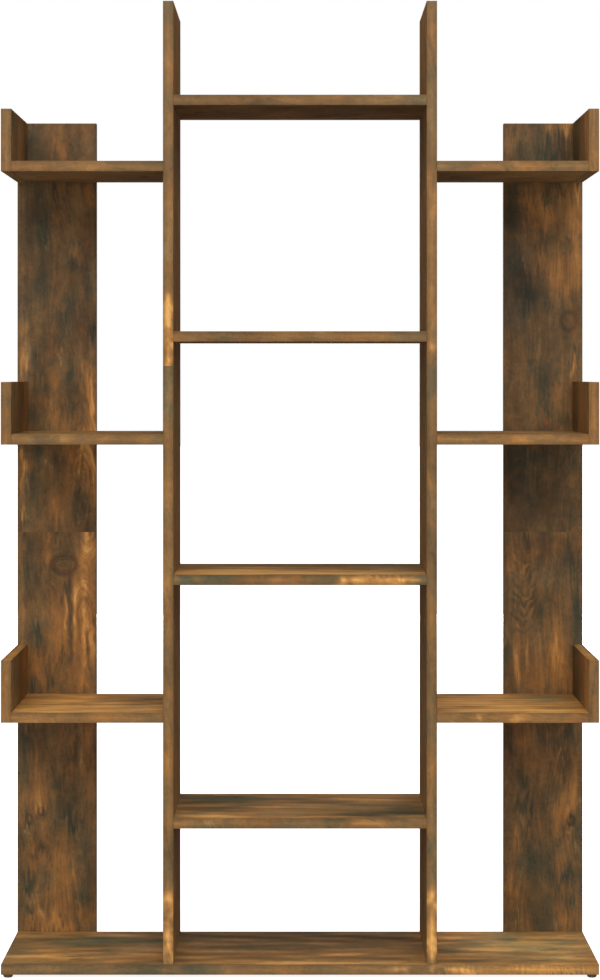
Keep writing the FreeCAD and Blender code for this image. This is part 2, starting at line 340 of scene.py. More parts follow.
        OLIVE: ((11, 45, 6, 50),),
        EMBER: ((8, 126, 12, 20),),
        GLOW: ((8, 160, 12, 16),),
        FLECK: ((5, 60, 5, 5), (6, 122, 6, 6)),
    },
    ("base_board", "front"): {
        GLOW: ((8, 44, 10, 52), (8, 560, 10, 44), (8, 770, 14, 104), (8, 780, 14, 80), (9, 815, 8, 34)),
        OLIVE: ((8, 190, 14, 90), (8, 370, 12, 40)),
        MOSS: ((8, 282, 10, 26), (6, 462, 7, 16), (6, 638, 6, 18)),
        FLECK: ((9, 566, 5, 9), (7, 588, 5, 9)),
        BLAZE: ((8, 631, 8, 7),),
        EMBER: ((7, 670, 10, 28), (6, 676, 6, 14), (8, 790, 10, 64)),
    },
    ("base_board", "top"): {
        MOSS: (
            (172, 115, 36, 74), (165, 200, 22, 50), (118, 292, 14, 30), (95, 654, 18, 30),
            (152, 824, 18, 30)),
        EMBER: ((70, 60, 48, 44), (70, 480, 10, 40), (110, 722, 30, 26), (52, 818, 22, 18)),
        # The second patch of the next kind darkens the rear of the top between the uprights.
        UMBER: ((42, 112, 26, 12), (196, 430, 60, 190), (118, 365, 24, 80)),
        BLAZE: ((76, 198, 7, 36), (11, 430, 10, 175)),
        GLOW: ((66, 290, 26, 40), (175, 650, 34, 30), (200, 660, 60, 60)),
        SMOKE: ((178, 738, 12, 15), (34, 770, 12, 34)),
        TAN: ((130, 785, 120, 76), (115, 765, 90, 96), (170, 690, 60, 60)),
        FLECK: ((108, 776, 6, 14), (92, 790, 5, 16)),
    },
}

# Knots: millimetres across and along, the half width and half length, and how far along the grain the lines
# bend round them. The push draws the lines aside, and its width is in half widths of the knot. The rim lies
# at a share of the knot's size, with a width that is another, and its shade darkens it.
KNOTS = {
    ("left_back_board", "front"): ((70, 573, 19, 13.5, 34), (18, 186, 5, 7, 16), (36, 198, 5, 5, 12)),
    ("right_back_board", "front"): ((99, 944, 12, 15, 30), (103, 184, 6, 8, 20)),
    ("base_board", "top"): ((112, 792, 9, 14, 30),),
}
KNOT_PUSH = 0.8
KNOT_PUSH_WIDTH = 2.2
KNOT_RIM = 0.95
KNOT_RIM_WIDTH = 0.26
KNOT_RIM_SHADE = 0.12
KNOT_FIGURE = 0.10

# Height of the butt joint between the two planks of the print, on the boards that show one.
PLANK_JOINTS = {"left_back_board": 623, "right_back_board": 623, "left_upright": 860, "right_upright": 862}

# A height below every board, for those that show no joint.
NO_JOINT = -1000

# The heart of the log behind a face, for the lower and the upper plank: millimetres across, the height where
# it touches the face, and how far behind the face it goes at first for each millimetre from there. It goes
# no deeper than the limit.
HEART_DEPTH = 40 * MM
HEARTS = {
    ("left_back_board", "front"): ((102, 300, 0.07), (95, 662, 0.26)),
    ("right_back_board", "front"): ((-20, 500, 0.04), (-30, 900, 0.05)),
    ("base_board", "top"): ((104, 700, 0.16), (104, 700, 0.16)),
}

# Where no heart is given, one is drawn at random. It lies across and along the face within these shares of
# the face's size, and some millimetres to one side, and goes behind the face at a slope between these two.
HEART_SEED = 900
HEART_ACROSS_SHARES = (-0.4, 1.4)
HEART_ALONG_SHARES = (-0.5, 1.5)
HEART_ASIDE = 12
HEART_SLOPES = (0.04, 0.13)

# Chevrons, where the saw cut across a wave in the grain: millimetres across and along, the half width and
# half length, and the pitch of the lines along the grain. With its middle outside an edge band, one gives
# slanted curls.
CHEVRONS = {
    ("right_back_board", "front"): ((31, 535, 19, 66, 16),),
    ("left_upright", "front"): ((18, 50, 22, 52, 17), (18, 900, 22, 44, 17)),
    ("right_upright", "front"): ((-3, 48, 22, 52, 17),),
    ("lower_centre_shelf", "front"): ((18, 285, 22, 52, 11),),
    ("lowest_centre_shelf", "front"): ((-3, 58, 22, 16, 7),),
    ("base_board", "front"): ((-6, 790, 26, 66, 8), (18, 660, 22, 40, 10)),
    ("high_right_shelf", "front"): ((18, 110, 22, 26, 9),),
}

# How far a chevron's lines rise for each millimetre aside, what they add to the tone and the warmth, and the
# share of them that shows on the whole.
CHEVRON_RISE = 1.3
CHEVRON_LIGHT = 0.08
CHEVRON_WARMTH = 0.14
CHEVRON_STRENGTH = 0.6

# Random fields of the print: strength, the length of its waves along and across the grain in millimetres,
# and what it adds to the face's seed. The strength is a length where the field moves the lines or patches.
HEART_SWAY = (5 * MM, 300, 200, 0)
HEART_RIPPLE = (0.6 * MM, 45, 60, 6)
FIGURE_DRIFT = (0.06, 160, 50, 1)
WARMTH_DRIFT = (0.08, 140, 70, 2)
TONE_DRIFT = (0.025, 160, 60, 3)
STRIPES = (1.0, 300, 45, 8)
SIDE_BEND = (1.4 * MM, 50, 20, 4)
LONG_BEND = (9 * MM, 120, 10, 5)
CHEVRON_SWAY = (1.5 * MM, 50, 100, 7)
CHEVRON_SHUFFLE = (1.5, 50, 30, 9)
CHEVRON_GAPS = (0.4, 50, 20, 10)

# Metres that part the print of one plank from the next, in the random fields and in the shader. A face's own
# shifts are steps in metres times the rest of its seed by a number, and a streak slants as it goes across.
PLANK_GAP = 3.0
PLANK_DROP = 0.41
FACE_SHIFTS = ((0.31, 13), (0.17, 7), (0.23, 11))
STREAK_SLANT = 4.0

# What a face adds to its board's tone and figure, the strength of its broad stripes, and how many times as
# large its print is drawn. The tone added to the top and side faces is painted light: they are drawn lighter
# than the front, rear and bottom faces. The edge bands have a tone of their own.
PLAIN_FIGURE = 0.08
PLAIN_FACE = (0.0, 0.0, 0.0, 1.0)
FACES = {"top": (0.10, 0.0, 0.06, 2.3), "left": (0.10, 0.0, 0.0, 1.0), "right": (0.10, 0.0, 0.0, 1.0)}
BAND_TONE = 0.665

# How much darker a band and a face are at their long edges, and the millimetres over which that fades. This
# is painted shade, for the rounded arris that turns away from the light.
BAND_EDGE_SHADE = 0.45
FACE_EDGE_SHADE = 0.25
EDGE_SHADE_WIDTH = 0.9

# The boards' grids, in millimetres: half the gap of a crease's pair, the least gap between a step and a
# hole's places, and the slack in finding a hole's square. The last two say how near, in metres, two stops
# and two points count as one.
CREASE = 0.1
HOLE_GAP = 0.3
HOLE_SLACK = 0.01
SAME_PLACE = 1e-9
MERGE_DISTANCE = 0.001 * MM

# Fittings, in millimetres. Those of a shelf end are measured along the bolt's axis from the wall's face.
GLIDES = ("front_left_glide", "front_right_glide", "rear_left_glide", "rear_right_glide")
DOWEL_EDGE = 40
DOWEL_SINK = 10
CAM_DISTANCE = 34
BACK_SCREW_EDGE = 30
BASE_SCREW_EDGE = 50

# A screw's length, the radius of its head and the depth of the head's cone, the radius and pitch of its
# thread, and where the thread begins.
BACK_SCREW = (40, 4.0, 2.4, 2.0, 2.0, 13)
BASE_SCREW = (50, 5.0, 3.0, 2.5, 2.4, 17)

# Millimetres of the bevel round a screw's head and of the run-out where its thread begins. Shares of the
# head's radius: half the width of the cross's slots, and their reach. Shares of the thread's radius: the
# core, the plain shank and the point's length.
HEAD_RIM = 0.2
THREAD_RUNOUT = 0.5
SLOT_SHARE = 0.15
SLOT_REACH_SHARE = 0.62
CORE_SHARE = 0.68
SHANK_SHARE = 0.85
POINT_SHARE = 2.2

# The countersunk hole: its clearance round the screw in millimetres, and half the side of the square round
# it as a share of the head's radius.
SINK_CLEARANCE = 0.1
SINK_MARGIN = 1.3

# The glides' hole and the recess for the nail's head, as radii and a depth, and the foot and the knee as
# shares of the glide's radius and height.
NAIL_HOLE = 1.1
NAIL_RECESS = 3.1
NAIL_RECESS_DEPTH = 2.4
GLIDE_FOOT_SHARE = 0.8
GLIDE_KNEE_SHARE = 0.66
GLIDE_SIDES = 48

# A cover disc's radius and thickness. A dowel's radius, that of its tips, their chamfer and its length.
DISC = (9.0, 0.6)
DISC_SIDES = 40
DOWEL = (4.0, 3.2, 1.5, 30.0)
FLUTE_DEPTH = 0.24

# A cam bolt's thread: where it starts and stops, its pitch, its core and its crest. At its start it has a
# share of its radius, which would grow by the whole over the taper's length. The rest is an outline of radii
# and heights, from the collar along the shank and the neck to the head.
BOLT_THREAD = (-11.0, -0.6, 2.5, 2.2, 3.0)
BOLT_TIP_SHARE = 0.55
BOLT_TAPER = 4.0
BOLT_OUTLINE = (
    (2.2, -0.5), (3.0, -0.3), (3.0, 1.2), (2.6, 1.6), (2.6, 23.2), (2.9, 24.0), (2.0, 24.3), (2.0, 29.8),
    (3.4, 31.8), (3.4, 34.6), (2.0, 34.8), (0.0, 34.8))

# Turned profiles: a bend's greatest share of the side beside it, the ease of a screw's and a bolt's corners
# in millimetres, and the angle in degrees of a sharp edge. A thread has some stations in each pitch.
EASE_SHARE = 0.45
SCREW_EASE = 0.3
BOLT_EASE = 0.4
SHARP_ANGLE = 35
SCREW_STATIONS = 6
BOLT_STATIONS = 8

# Finishes of the fittings. A metal's name, its dark and light colours, its least roughness and its grit. The
# others are cells of noise along the three axes. All lengths are in millimetres.
PLATED_STEEL = ("electroplated_steel", "#a9adb1", "#d3d6d9", 0.32, 0.6)
DIE_CAST_ZINC = ("die_cast_zinc", "#8e9194", "#b8bbbd", 0.45, 1.2)
BEECH_RAY = (16.7, 1.43, 1.43)
FOIL_LINE = (25, 2, 2)
PLASTIC_BLOTCH = (4, 4, 4)
PLASTIC_SCUFF = (0.8, 0.8, 0.8)

# The studio, in metres: where each softbox stands and how wide it is, how far the floor reaches each way,
# and the size of its mottle. The tent's horizon is soft by this share of its radius, above and below. The
# camera's sensor is in millimetres.
FRONT_SOFTBOX = ((0.0, -6.0, 5.0), 5.0)
REAR_SOFTBOX = ((0.0, 6.0, 0.9), 2.0)
FLOOR_REACH = 30.0
FLOOR_MOTTLE = 0.333
HORIZON = 0.05
SENSOR_WIDTH = 36.0


def linear(hex_colour):
    """The linear RGBA of an sRGB hex colour."""
    levels = [int(hex_colour[place:place + 2], 16) / 255 for place in (1, 3, 5)]
    return [v / 12.92 if v <= 0.04045 else ((v + 0.055) / 1.055) ** 2.4 for v in levels] + [1.0]


def add_node(tree, kind, settings=None, inputs=None, stops=None):
    """Adds a node with its settings, the stops of its ramp, and for its inputs values or others' outputs."""
    node = tree.nodes.new(kind)
    for name, value in (settings or {}).items():
        setattr(node, name, value)
    for place, value in (inputs or {}).items():
        if isinstance(value, bpy.types.NodeSocket):
            tree.links.new(value, node.inputs[place])
        else:
            node.inputs[place].default_value = value
    if stops:
        ramp = node.color_ramp
        while len(ramp.elements) < len(stops):
            ramp.elements.new(1.0)
        for element, (place, colour) in zip(ramp.elements, stops):
            element.position = place
            element.color = linear(colour)
    return node


def new_material(name):
    """A new material, its node tree and its Principled shader, or one made before, and no tree or shader."""
    material = bpy.data.materials.get(name)
    if material:
        return material, None, None
    material = bpy.data.materials.new(name)
    material.use_nodes = True
    tree = material.node_tree
    tree.nodes.clear()
    shader = add_node(tree, "ShaderNodeBsdfPrincipled")
    add_node(tree, "ShaderNodeOutputMaterial", inputs={"Surface": shader.outputs[0]})
    return material, tree, shader


def streaks(tree, source, width, length, detail=3.0, roughness=0.6, distortion=0.0):
    """Noise drawn out along the grain: its cells are width across and length along, in millimetres."""
    placed = add_node(tree, "ShaderNodeMapping", inputs={
        "Vector": source, "Scale": (1 / (width * MM), 1 / (length * MM), 1)})
    noise = add_node(tree, "ShaderNodeTexNoise", {"noise_dimensions": "2D"}, {
        "Vector": placed.outputs[0], "Scale": 1.0, "Detail": detail, "Roughness": roughness,
        "Distortion": distortion})
    return noise.outputs["Fac"]


def sum_of(tree, start, *terms):
    """Start plus each term's value less its middle, times its weight, as a chain of multiply-adds."""
    total = start
    for value, middle, weight in terms:
        centred = add_node(tree, "ShaderNodeMath", {"operation": "SUBTRACT"}, {0: value, 1: middle})
        step = add_node(tree, "ShaderNodeMath", {"operation": "MULTIPLY_ADD"},
                        {0: centred.outputs[0], 1: weight, 2: total})
        total = step.outputs[0]
    return total


def link_surface(tree, shader, colour, roughness, relief, strength, depth):
    """Gives the shader its colour and roughness, and a bump of the relief that is depth millimetres deep."""
    bump = add_node(tree, "ShaderNodeBump", inputs={
        "Strength": strength, "Distance": depth * MM, "Height": relief})
    tree.links.new(colour, shader.inputs["Base Color"])
    tree.links.new(roughness, shader.inputs["Roughness"])
    tree.links.new(bump.outputs[0], shader.inputs["Normal"])


def piece_noise(tree, cell, detail, roughness=0.5):
    """Noise fixed to a piece, whose cells have the given lengths along the three axes, in millimetres."""
    place = add_node(tree, "ShaderNodeTexCoord").outputs["Object"]
    spread = add_node(tree, "ShaderNodeMapping", inputs={
        "Vector": place, "Scale": [1 / (length * MM) for length in cell]})
    noise = add_node(tree, "ShaderNodeTexNoise", inputs={
        "Vector": spread.outputs[0], "Scale": 1.0, "Detail": detail, "Roughness": roughness})
    return noise.outputs["Fac"]


def smoked_oak(name, decor, contrast, roughness):
    """Melamine faced board: a smoked oak print, pressed with a grained plate.

    To the eye: long brown and orange streaks under clouds of green-black smoke, matt with fine pores.
    Contrast is how strongly the clouds show, and roughness is that of the smoothest streaks.
    """
    material, tree, shader = new_material(name)
    if tree is None:
        return material
    grain = add_node(tree, "ShaderNodeUVMap", {"uv_map": "grain"}).outputs[0]
    flat = add_node(tree, "ShaderNodeUVMap", {"uv_map": "flat"}).outputs[0]
    stain_and_painted_light = add_node(tree, "ShaderNodeAttribute", {"attribute_name": "stain_and_painted_light"})
    parts = add_node(tree, "ShaderNodeSeparateColor", inputs={0: stain_and_painted_light.outputs["Color"]})
    warmth, tone, figure = parts.outputs[0], parts.outputs[1], parts.outputs[2]
    # The alpha is painted shade along the long edges, for the rounded arris.
    edge = stain_and_painted_light.outputs["Alpha"]

    # Real pores are 0.3 mm wide and wouldn't show, so the finest streaks are drawn five times as wide.
    fine = streaks(tree, grain, decor.fine_grain, decor.fine_grain * 36)
    band = streaks(tree, grain, decor.growth_ring, decor.growth_ring * 40, 2.0)
    smoke = streaks(tree, flat, decor.cloud, decor.cloud * 1.4, 4.0, 0.5, 0.4)
    soot = streaks(tree, flat, decor.cloud * 0.4, decor.cloud * 0.55, 4.0, 0.6, 0.3)
    pore = streaks(tree, grain, decor.fine_grain, decor.fine_grain * 9, 2.0, 0.7)
    speck = streaks(tree, flat, decor.fine_grain * 2.4, decor.fine_grain * 3.2, 3.0, 0.6)

    # The figure at a point says how strongly the growth bands and the finest streaks show there.
    figured = add_node(tree, "ShaderNodeMath", {"operation": "MULTIPLY_ADD"},
                       {0: figure, 1: 0.90, 2: 0.05})
    lined = add_node(tree, "ShaderNodeMath", {"operation": "MULTIPLY_ADD"},
                     {0: figure, 1: 0.42, 2: 0.09 * contrast})

    light = sum_of(tree, tone, (fine, 0.5, lined.outputs[0]), (band, 0.5, figured.outputs[0]),
                   (smoke, 0.5, 0.10 * contrast), (soot, 0.5, 0.17 * contrast), (speck, 0.5, 0.09))
    heat = sum_of(tree, warmth, (smoke, 0.5, 0.6 * contrast), (band, 0.5, 0.25), (soot, 0.5, 0.6 * contrast),
                  (speck, 0.5, 0.20))
    cool = add_node(tree, "ShaderNodeValToRGB", inputs={0: light}, stops=(
        (0.0, "#23241c"), (0.3, "#3a382a"), (0.5, "#514e39"), (0.7, "#6d694c"), (1.0, "#97916a")))
    warm = add_node(tree, "ShaderNodeValToRGB", inputs={0: light}, stops=(
        (0.0, "#2c1d10"), (0.3, "#54381e"), (0.5, "#7c552d"), (0.7, "#aa753d"), (0.85, "#cf924d"),
        (1.0, "#f2b664")))
    heat_share = add_node(tree, "ShaderNodeClamp", inputs={0: heat})

    # Inputs 6 and 7 of a mix of colours are the two colours.
    print_colour = add_node(tree, "ShaderNodeMix", {"data_type": "RGBA"}, {
        "Factor": heat_share.outputs[0], 6: cool.outputs[0], 7: warm.outputs[0]})
    dark_pore = add_node(tree, "ShaderNodeMapRange", inputs={
        0: pore, 1: 0.30, 2: 0.42, 3: 0.80, 4: 1.0})
    shade = add_node(tree, "ShaderNodeMath", {"operation": "MULTIPLY"}, {
        0: dark_pore.outputs[0], 1: edge})
    final = add_node(tree, "ShaderNodeVectorMath", {"operation": "SCALE"}, {
        0: print_colour.outputs[2], "Scale": shade.outputs[0]})
    matt = add_node(tree, "ShaderNodeMapRange", inputs={
        0: fine, 1: 0.2, 2: 0.8, 3: roughness, 4: roughness + 0.16})
    relief = sum_of(tree, fine, (pore, 0.5, 0.8))
    link_surface(tree, shader, final.outputs[0], matt.outputs[0], relief, 0.35, decor.pore_depth)
    shader.inputs["IOR"].default_value = 1.5
    shader.inputs["Specular IOR Level"].default_value = 0.25
    return material


def beech():
    """Turned beech: pale pink-brown wood with short dark rays, left raw."""
    material, tree, shader = new_material("turned_beech")
    if tree is None:
        return material
    rays = piece_noise(tree, BEECH_RAY, 4.0, 0.65)
    colour = add_node(tree, "ShaderNodeValToRGB", inputs={0: rays}, stops=(
        (0.25, "#a9794f"), (0.5, "#cfa57a"), (0.8, "#e2c39c")))
    matt = add_node(tree, "ShaderNodeMapRange", inputs={0: rays, 3: 0.55, 4: 0.75})
    link_surface(tree, shader, colour.outputs[0], matt.outputs[0], rays, 0.3, 0.1)
    return material


def plated_metal(name, dark, light, roughness, grit):
    """Zinc on steel, or zinc cast in a die: a blue-grey metal with a fine mottle of grit millimetres.

    Zinc soon wears a thin dull film of its own oxide, so it shines less than bare metal.
    """
    material, tree, shader = new_material(name)
    if tree is None:
        return material
    mottle = piece_noise(tree, (grit, grit, grit), 4.0, 0.6)
    colour = add_node(tree, "ShaderNodeValToRGB", inputs={0: mottle}, stops=((0.3, dark), (0.7, light)))
    worn = add_node(tree, "ShaderNodeMapRange", inputs={
        0: mottle, 1: 0.3, 2: 0.7, 3: roughness, 4: roughness + 0.2})
    link_surface(tree, shader, colour.outputs[0], worn.outputs[0], mottle, 0.2, 0.03)
    shader.inputs["Metallic"].default_value = 0.6
    return material


def moulded_plastic():
    """Polyethylene, moulded: a waxy mid brown, with scuffs where it meets the floor."""
    material, tree, shader = new_material("moulded_polyethylene")
    if tree is None:
        return material
    blotch = piece_noise(tree, PLASTIC_BLOTCH, 3.0)
    scuff = piece_noise(tree, PLASTIC_SCUFF, 4.0, 0.7)
    mixed = sum_of(tree, blotch, (scuff, 0.5, 0.7))
    colour = add_node(tree, "ShaderNodeValToRGB", inputs={0: mixed}, stops=(
        (0.3, "#5a4532"), (0.7, "#7a6046")))
    matt = add_node(tree, "ShaderNodeMapRange", inputs={0: mixed, 1: 0.3, 2: 0.7, 3: 0.38, 4: 0.6})
    link_surface(tree, shader, colour.outputs[0], matt.outputs[0], scuff, 0.3, 0.05)
    return material


def printed_foil():
    """Printed foil discs: the board's brown without its clouds, a shade plainer than the board."""
    material, tree, shader = new_material("printed_foil")
    if tree is None:
        return material
    line = piece_noise(tree, FOIL_LINE, 3.0)
    colour = add_node(tree, "ShaderNodeValToRGB", inputs={0: line}, stops=(
        (0.3, "#5a3d22"), (0.5, "#7d5630"), (0.75, "#99703f")))
    matt = add_node(tree, "ShaderNodeMapRange", inputs={0: line, 3: 0.4, 4: 0.6})
    link_surface(tree, shader, colour.outputs[0], matt.outputs[0], line, 0.2, 0.03)
    return material


def cloud(along, across, length, width, seed, waves=16):
    """A smooth random field of about unit size.

    It is the sum of cosine waves with seeded phases, whose counts per metre are drawn from normal
    distributions of one over the length, along the grain, and one over the width, across it.
    """
    draw = np.random.default_rng(seed)
    per_length = draw.normal(0.0, 1.0 / length, waves)
    per_width = draw.normal(0.0, 1.0 / width, waves)
    phase = draw.uniform(0.0, 2 * np.pi, waves)
    angle = 2 * np.pi * (along[..., None] * per_length + across[..., None] * per_width) + phase
    return np.cos(angle).sum(axis=-1) * math.sqrt(2.0 / waves)


def drift(along, across, field, seed):
    """One of the print's random fields at each point: its strength times a cloud of its two lengths."""
    strength, length, width, own_seed = field
    return strength * cloud(along, across, length * MM, width * MM, seed + own_seed)


def random_hearts(along, across, seed):
    """Seeded hearts behind the lower and the upper plank of a face, each within it or some way outside."""
    draw = np.random.default_rng(seed + HEART_SEED)
    width, length = across.max() / MM, along.max() / MM
    hearts = []
    for _ in range(2):
        middle = draw.uniform(*HEART_ACROSS_SHARES) * width + draw.choice((-1, 1)) * HEART_ASIDE
        touch = draw.uniform(*HEART_ALONG_SHARES) * length
        hearts.append((middle, touch, draw.uniform(*HEART_SLOPES)))
    return hearts


def heart_distance(along, across, far_along, above, hearts, seed):
    """How far each point of a face is from the heart of its plank's log.

    It is the root of the squares of the distance across from the heart and of the heart's depth, which grows
    from zero along the board to a limit, so that its level lines are nested arches with straight feet.
    """
    middle, touch, slope = (np.where(above, upper, lower) for lower, upper in zip(*hearts))
    aside = across - middle * MM + drift(far_along, across, HEART_SWAY, seed)
    behind = HEART_DEPTH * np.tanh(slope * (along - touch * MM) / HEART_DEPTH)
    return np.hypot(aside, behind + drift(far_along, across, HEART_RIPPLE, seed))


def add_patches(stain_and_painted_light, along, across, above, key, seed, joint):
    """Adds to the stain a soft ellipse for each patch of a face.

    A small field bends each ellipse, so that none is a true one, and the plank joint cuts it off. Some
    patches paint light or shade.
    """
    bent_across = across + drift(along, across, SIDE_BEND, seed)
    bent_along = along + drift(along, across, LONG_BEND, seed)
    for kind, spots in PATCHES.get(key, {}).items():
        for middle, height, half_width, half_length in spots:
            gone = (((bent_across - middle * MM) / (half_width * MM)) ** 2
                    + ((bent_along - height * MM) / (half_length * MM)) ** 2)
            share = np.exp(-gone ** PATCH_FALL) * (above == (height * MM > joint))
            stain_and_painted_light += share[:, None] * np.array(kind)


def add_chevrons(stain_and_painted_light, along, across, key, seed):
    """Adds to the stain's warmth and tone the waves of each chevron of a face.

    A wave is a cosine of the height less a multiple of the distance from the chevron's middle line. Random
    fields sway that line, shuffle the waves along it and leave gaps in them.
    """
    for middle, height, half_width, half_length, pitch in CHEVRONS.get(key, ()):
        aside = np.abs(across - middle * MM + drift(along, across, CHEVRON_SWAY, seed))
        up = along - height * MM
        share = np.exp(-(aside / (half_width * MM)) ** 4 - (up / (half_length * MM)) ** 4)
        share = share * (CHEVRON_STRENGTH + drift(along, across, CHEVRON_GAPS, seed))
        phase = 2 * np.pi * (up - CHEVRON_RISE * aside) / (pitch * MM)
        wave = share * np.cos(phase + drift(along, across, CHEVRON_SHUFFLE, seed))
        stain_and_painted_light[:, 0] += CHEVRON_WARMTH * wave
        stain_and_painted_light[:, 1] += CHEVRON_LIGHT * wave


def add_knots(line, stain_and_painted_light, along, across, key, heart):
    """The lines' coordinate with the knots of a face in it, whose dark rims it adds to the stain.

    Beside a knot the lines are pushed apart, by drawing the coordinate towards the knot's own as a bell of
    the distance from it. Inside the knot they are rings round its middle.
    """
    for middle, height, half_width, half_length, reach in KNOTS.get(key, ()):
        aside = across - middle * MM
        up = along - height * MM
        pull = np.exp(-(aside / (KNOT_PUSH_WIDTH * half_width * MM)) ** 2 - (up / (reach * MM)) ** 2)
        line = line - KNOT_PUSH * aside * pull * np.sign(middle * MM - heart * MM)
        away = np.hypot(aside / (half_width * MM), up / (half_length * MM))
        inside = np.exp(-away ** 4)
        line = line * (1 - inside) + half_width * MM * away * inside
        stain_and_painted_light[:, 1] -= KNOT_RIM_SHADE * np.exp(-((away - KNOT_RIM) / KNOT_RIM_WIDTH) ** 2)
        stain_and_painted_light[:, 2] += KNOT_FIGURE * inside
    return line


def decor_fields(along, across, key, tone, warmth, figure, stripe, seed, joint):
    """The print's grain coordinates, its flat ones, and its stain at each point of a face.

    Grain lines are lines of equal first coordinate, which is the distance from the heart of the log. The
    stain, with its painted light, is the warmth, the tone and the figure: each is the board's own plus a
    seeded drift, and the tone has stripes too. Then come the face's patches, some of which paint light or
    shade, its chevrons and knots.
    """
    above = along > joint
    far_along = along + np.where(above, PLANK_GAP, 0.0)
    hearts = HEARTS.get(key) or random_hearts(along, across, seed)
    line = heart_distance(along, across, far_along, above, hearts, seed)
    light = tone + drift(far_along, across, TONE_DRIFT, seed)
    stain_and_painted_light = np.stack([
        warmth + drift(far_along, across, WARMTH_DRIFT, seed),
        light + stripe * drift(far_along, across, STRIPES, seed),
        figure + drift(far_along, across, FIGURE_DRIFT, seed)], axis=-1)
    add_patches(stain_and_painted_light, along, across, above, key, seed, joint)
    add_chevrons(stain_and_painted_light, along, across, key, seed)
    line = add_knots(line, stain_and_painted_light, along, across, key, hearts[0][0])
    first_shift, plank_shift, last_shift = (step * (seed % turns) for step, turns in FACE_SHIFTS)
    drop = np.where(above, PLANK_DROP, 0.0) + plank_shift
    grain = np.stack([line + first_shift, along + drop + STREAK_SLANT * across], axis=-1)
    flat = np.stack([across + first_shift + drop, along + last_shift], axis=-1)
    stain_and_painted_light[:, 2] = np.clip(stain_and_painted_light[:, 2], 0.0, 1.0)
    return grain, flat, stain_and_painted_light


def axis_stops(size, arris, spacing, creases, holes):
    """Places along one axis of a board from 0 to its size.

    Each arris has the tangents of 45, 22.5 and 0 degrees times its radius, the flat between has even steps,
    and a crease, where the print jumps, has a close pair. A hole has five, out to the square round it, which
    are rounded so that those of holes in line fall together.
    """
    bend = arris * math.tan(math.pi / 8)
    steps = max(1, round((size - 2 * arris) / spacing))
    flat = np.linspace(arris, size - arris, steps + 1)
    pairs = [crease + side * CREASE * MM for crease in creases for side in (-1, 1)]
    if holes:
        middle, reach = np.array(holes).T
        fives = (middle[:, None] + SINK_MARGIN * reach[:, None] * np.linspace(-1.0, 1.0, 5)).ravel()
        flat = flat[np.abs(flat[:, None] - fives).min(axis=1) > HOLE_GAP * MM]
        pairs = [*pairs, *np.round(fives, 7)]
    return np.unique(np.concatenate([[0.0, arris - bend], flat, pairs, [size - arris + bend, size]]))


def screw_hole(stops, middle, face, side, screw):
    """The countersunk hole of a screw, as a grid that runs round the hole and into it.

    It starts at the square of stops round the hole. From each of them it goes straight to the head's circle,
    down the cone to the thread's radius, and in to the middle at the bottom.
    """
    _, head, cone, thread, _, _ = (value * MM for value in screw)
    one, two = (face + 1) % 3, (face + 2) % 3
    reach = SINK_MARGIN * head + HOLE_SLACK * MM
    first = stops[one][np.abs(stops[one] - middle[one]) < reach]
    second = stops[two][np.abs(stops[two] - middle[two]) < reach]
    rim = np.concatenate([
        np.stack([first, np.full(len(first), second[0])], axis=-1),
        np.stack([np.full(len(second), first[-1]), second], axis=-1)[1:],
        np.stack([first, np.full(len(first), second[-1])], axis=-1)[-2::-1],
        np.stack([np.full(len(second), first[0]), second], axis=-1)[-2::-1]])
    centre = np.array([middle[one], middle[two]])
    way = rim - centre
    way = way / np.linalg.norm(way, axis=-1, keepdims=True)
    spare = SINK_CLEARANCE * MM
    radii = np.array([head + spare, thread + spare, thread + spare, 0.0])
    depths = np.array([0.0, 0.0, cone, cone + thread, cone + thread])
    rings = centre + radii[None, :, None] * way[:, None, :]
    hole = np.zeros((len(rim), len(depths), 3))
    hole[..., [one, two]] = np.concatenate([rim[:, None, :], rings], axis=1)
    hole[..., face] = middle[face] + (depths if side == 0 else -depths)
    return hole


def wound_corners(grid, reverse):
    """The numbers at the four corners of each cell of a grid, wound so that the face points outwards."""
    corners = [grid[:-1, :-1], grid[1:, :-1], grid[1:, 1:], grid[:-1, 1:]]
    if reverse:
        corners.reverse()
    return np.stack(corners, axis=2).reshape(-1, 4)


def face_name(axis, side):
    """What a face of a board is called: the side of the bookcase that it looks to."""
    return (("left", "right"), ("front", "rear"), ("bottom", "top"))[axis][side]


def merged(points, faces):
    """The points that faces use, with those that fall together made one, and the faces numbered by them."""
    cells = np.round(points / MERGE_DISTANCE)
    _, index, back = np.unique(cells, axis=0, return_index=True, return_inverse=True)
    used, numbers = np.unique(back.reshape(-1)[faces], return_inverse=True)
    return points[index][used], numbers.reshape(faces.shape)


def rounded_face(stops, size, arris, axis, side):
    """The grid of points on one face of a box, flat, and with its edges and corners rounded.

    To round it, each point is drawn to the nearest point of a box smaller by the arris on every side, and
    then set the arris away from there.
    """
    one, two = (axis + 1) % 3, (axis + 2) % 3
    flat = np.zeros((len(stops[one]), len(stops[two]), 3))
    flat[..., one] = stops[one][:, None]
    flat[..., two] = stops[two][None, :]
    flat[..., axis] = side * size[axis]
    core = np.clip(flat, arris, size - arris)
    out = flat - core
    return flat, core + arris * out / np.linalg.norm(out, axis=-1, keepdims=True)


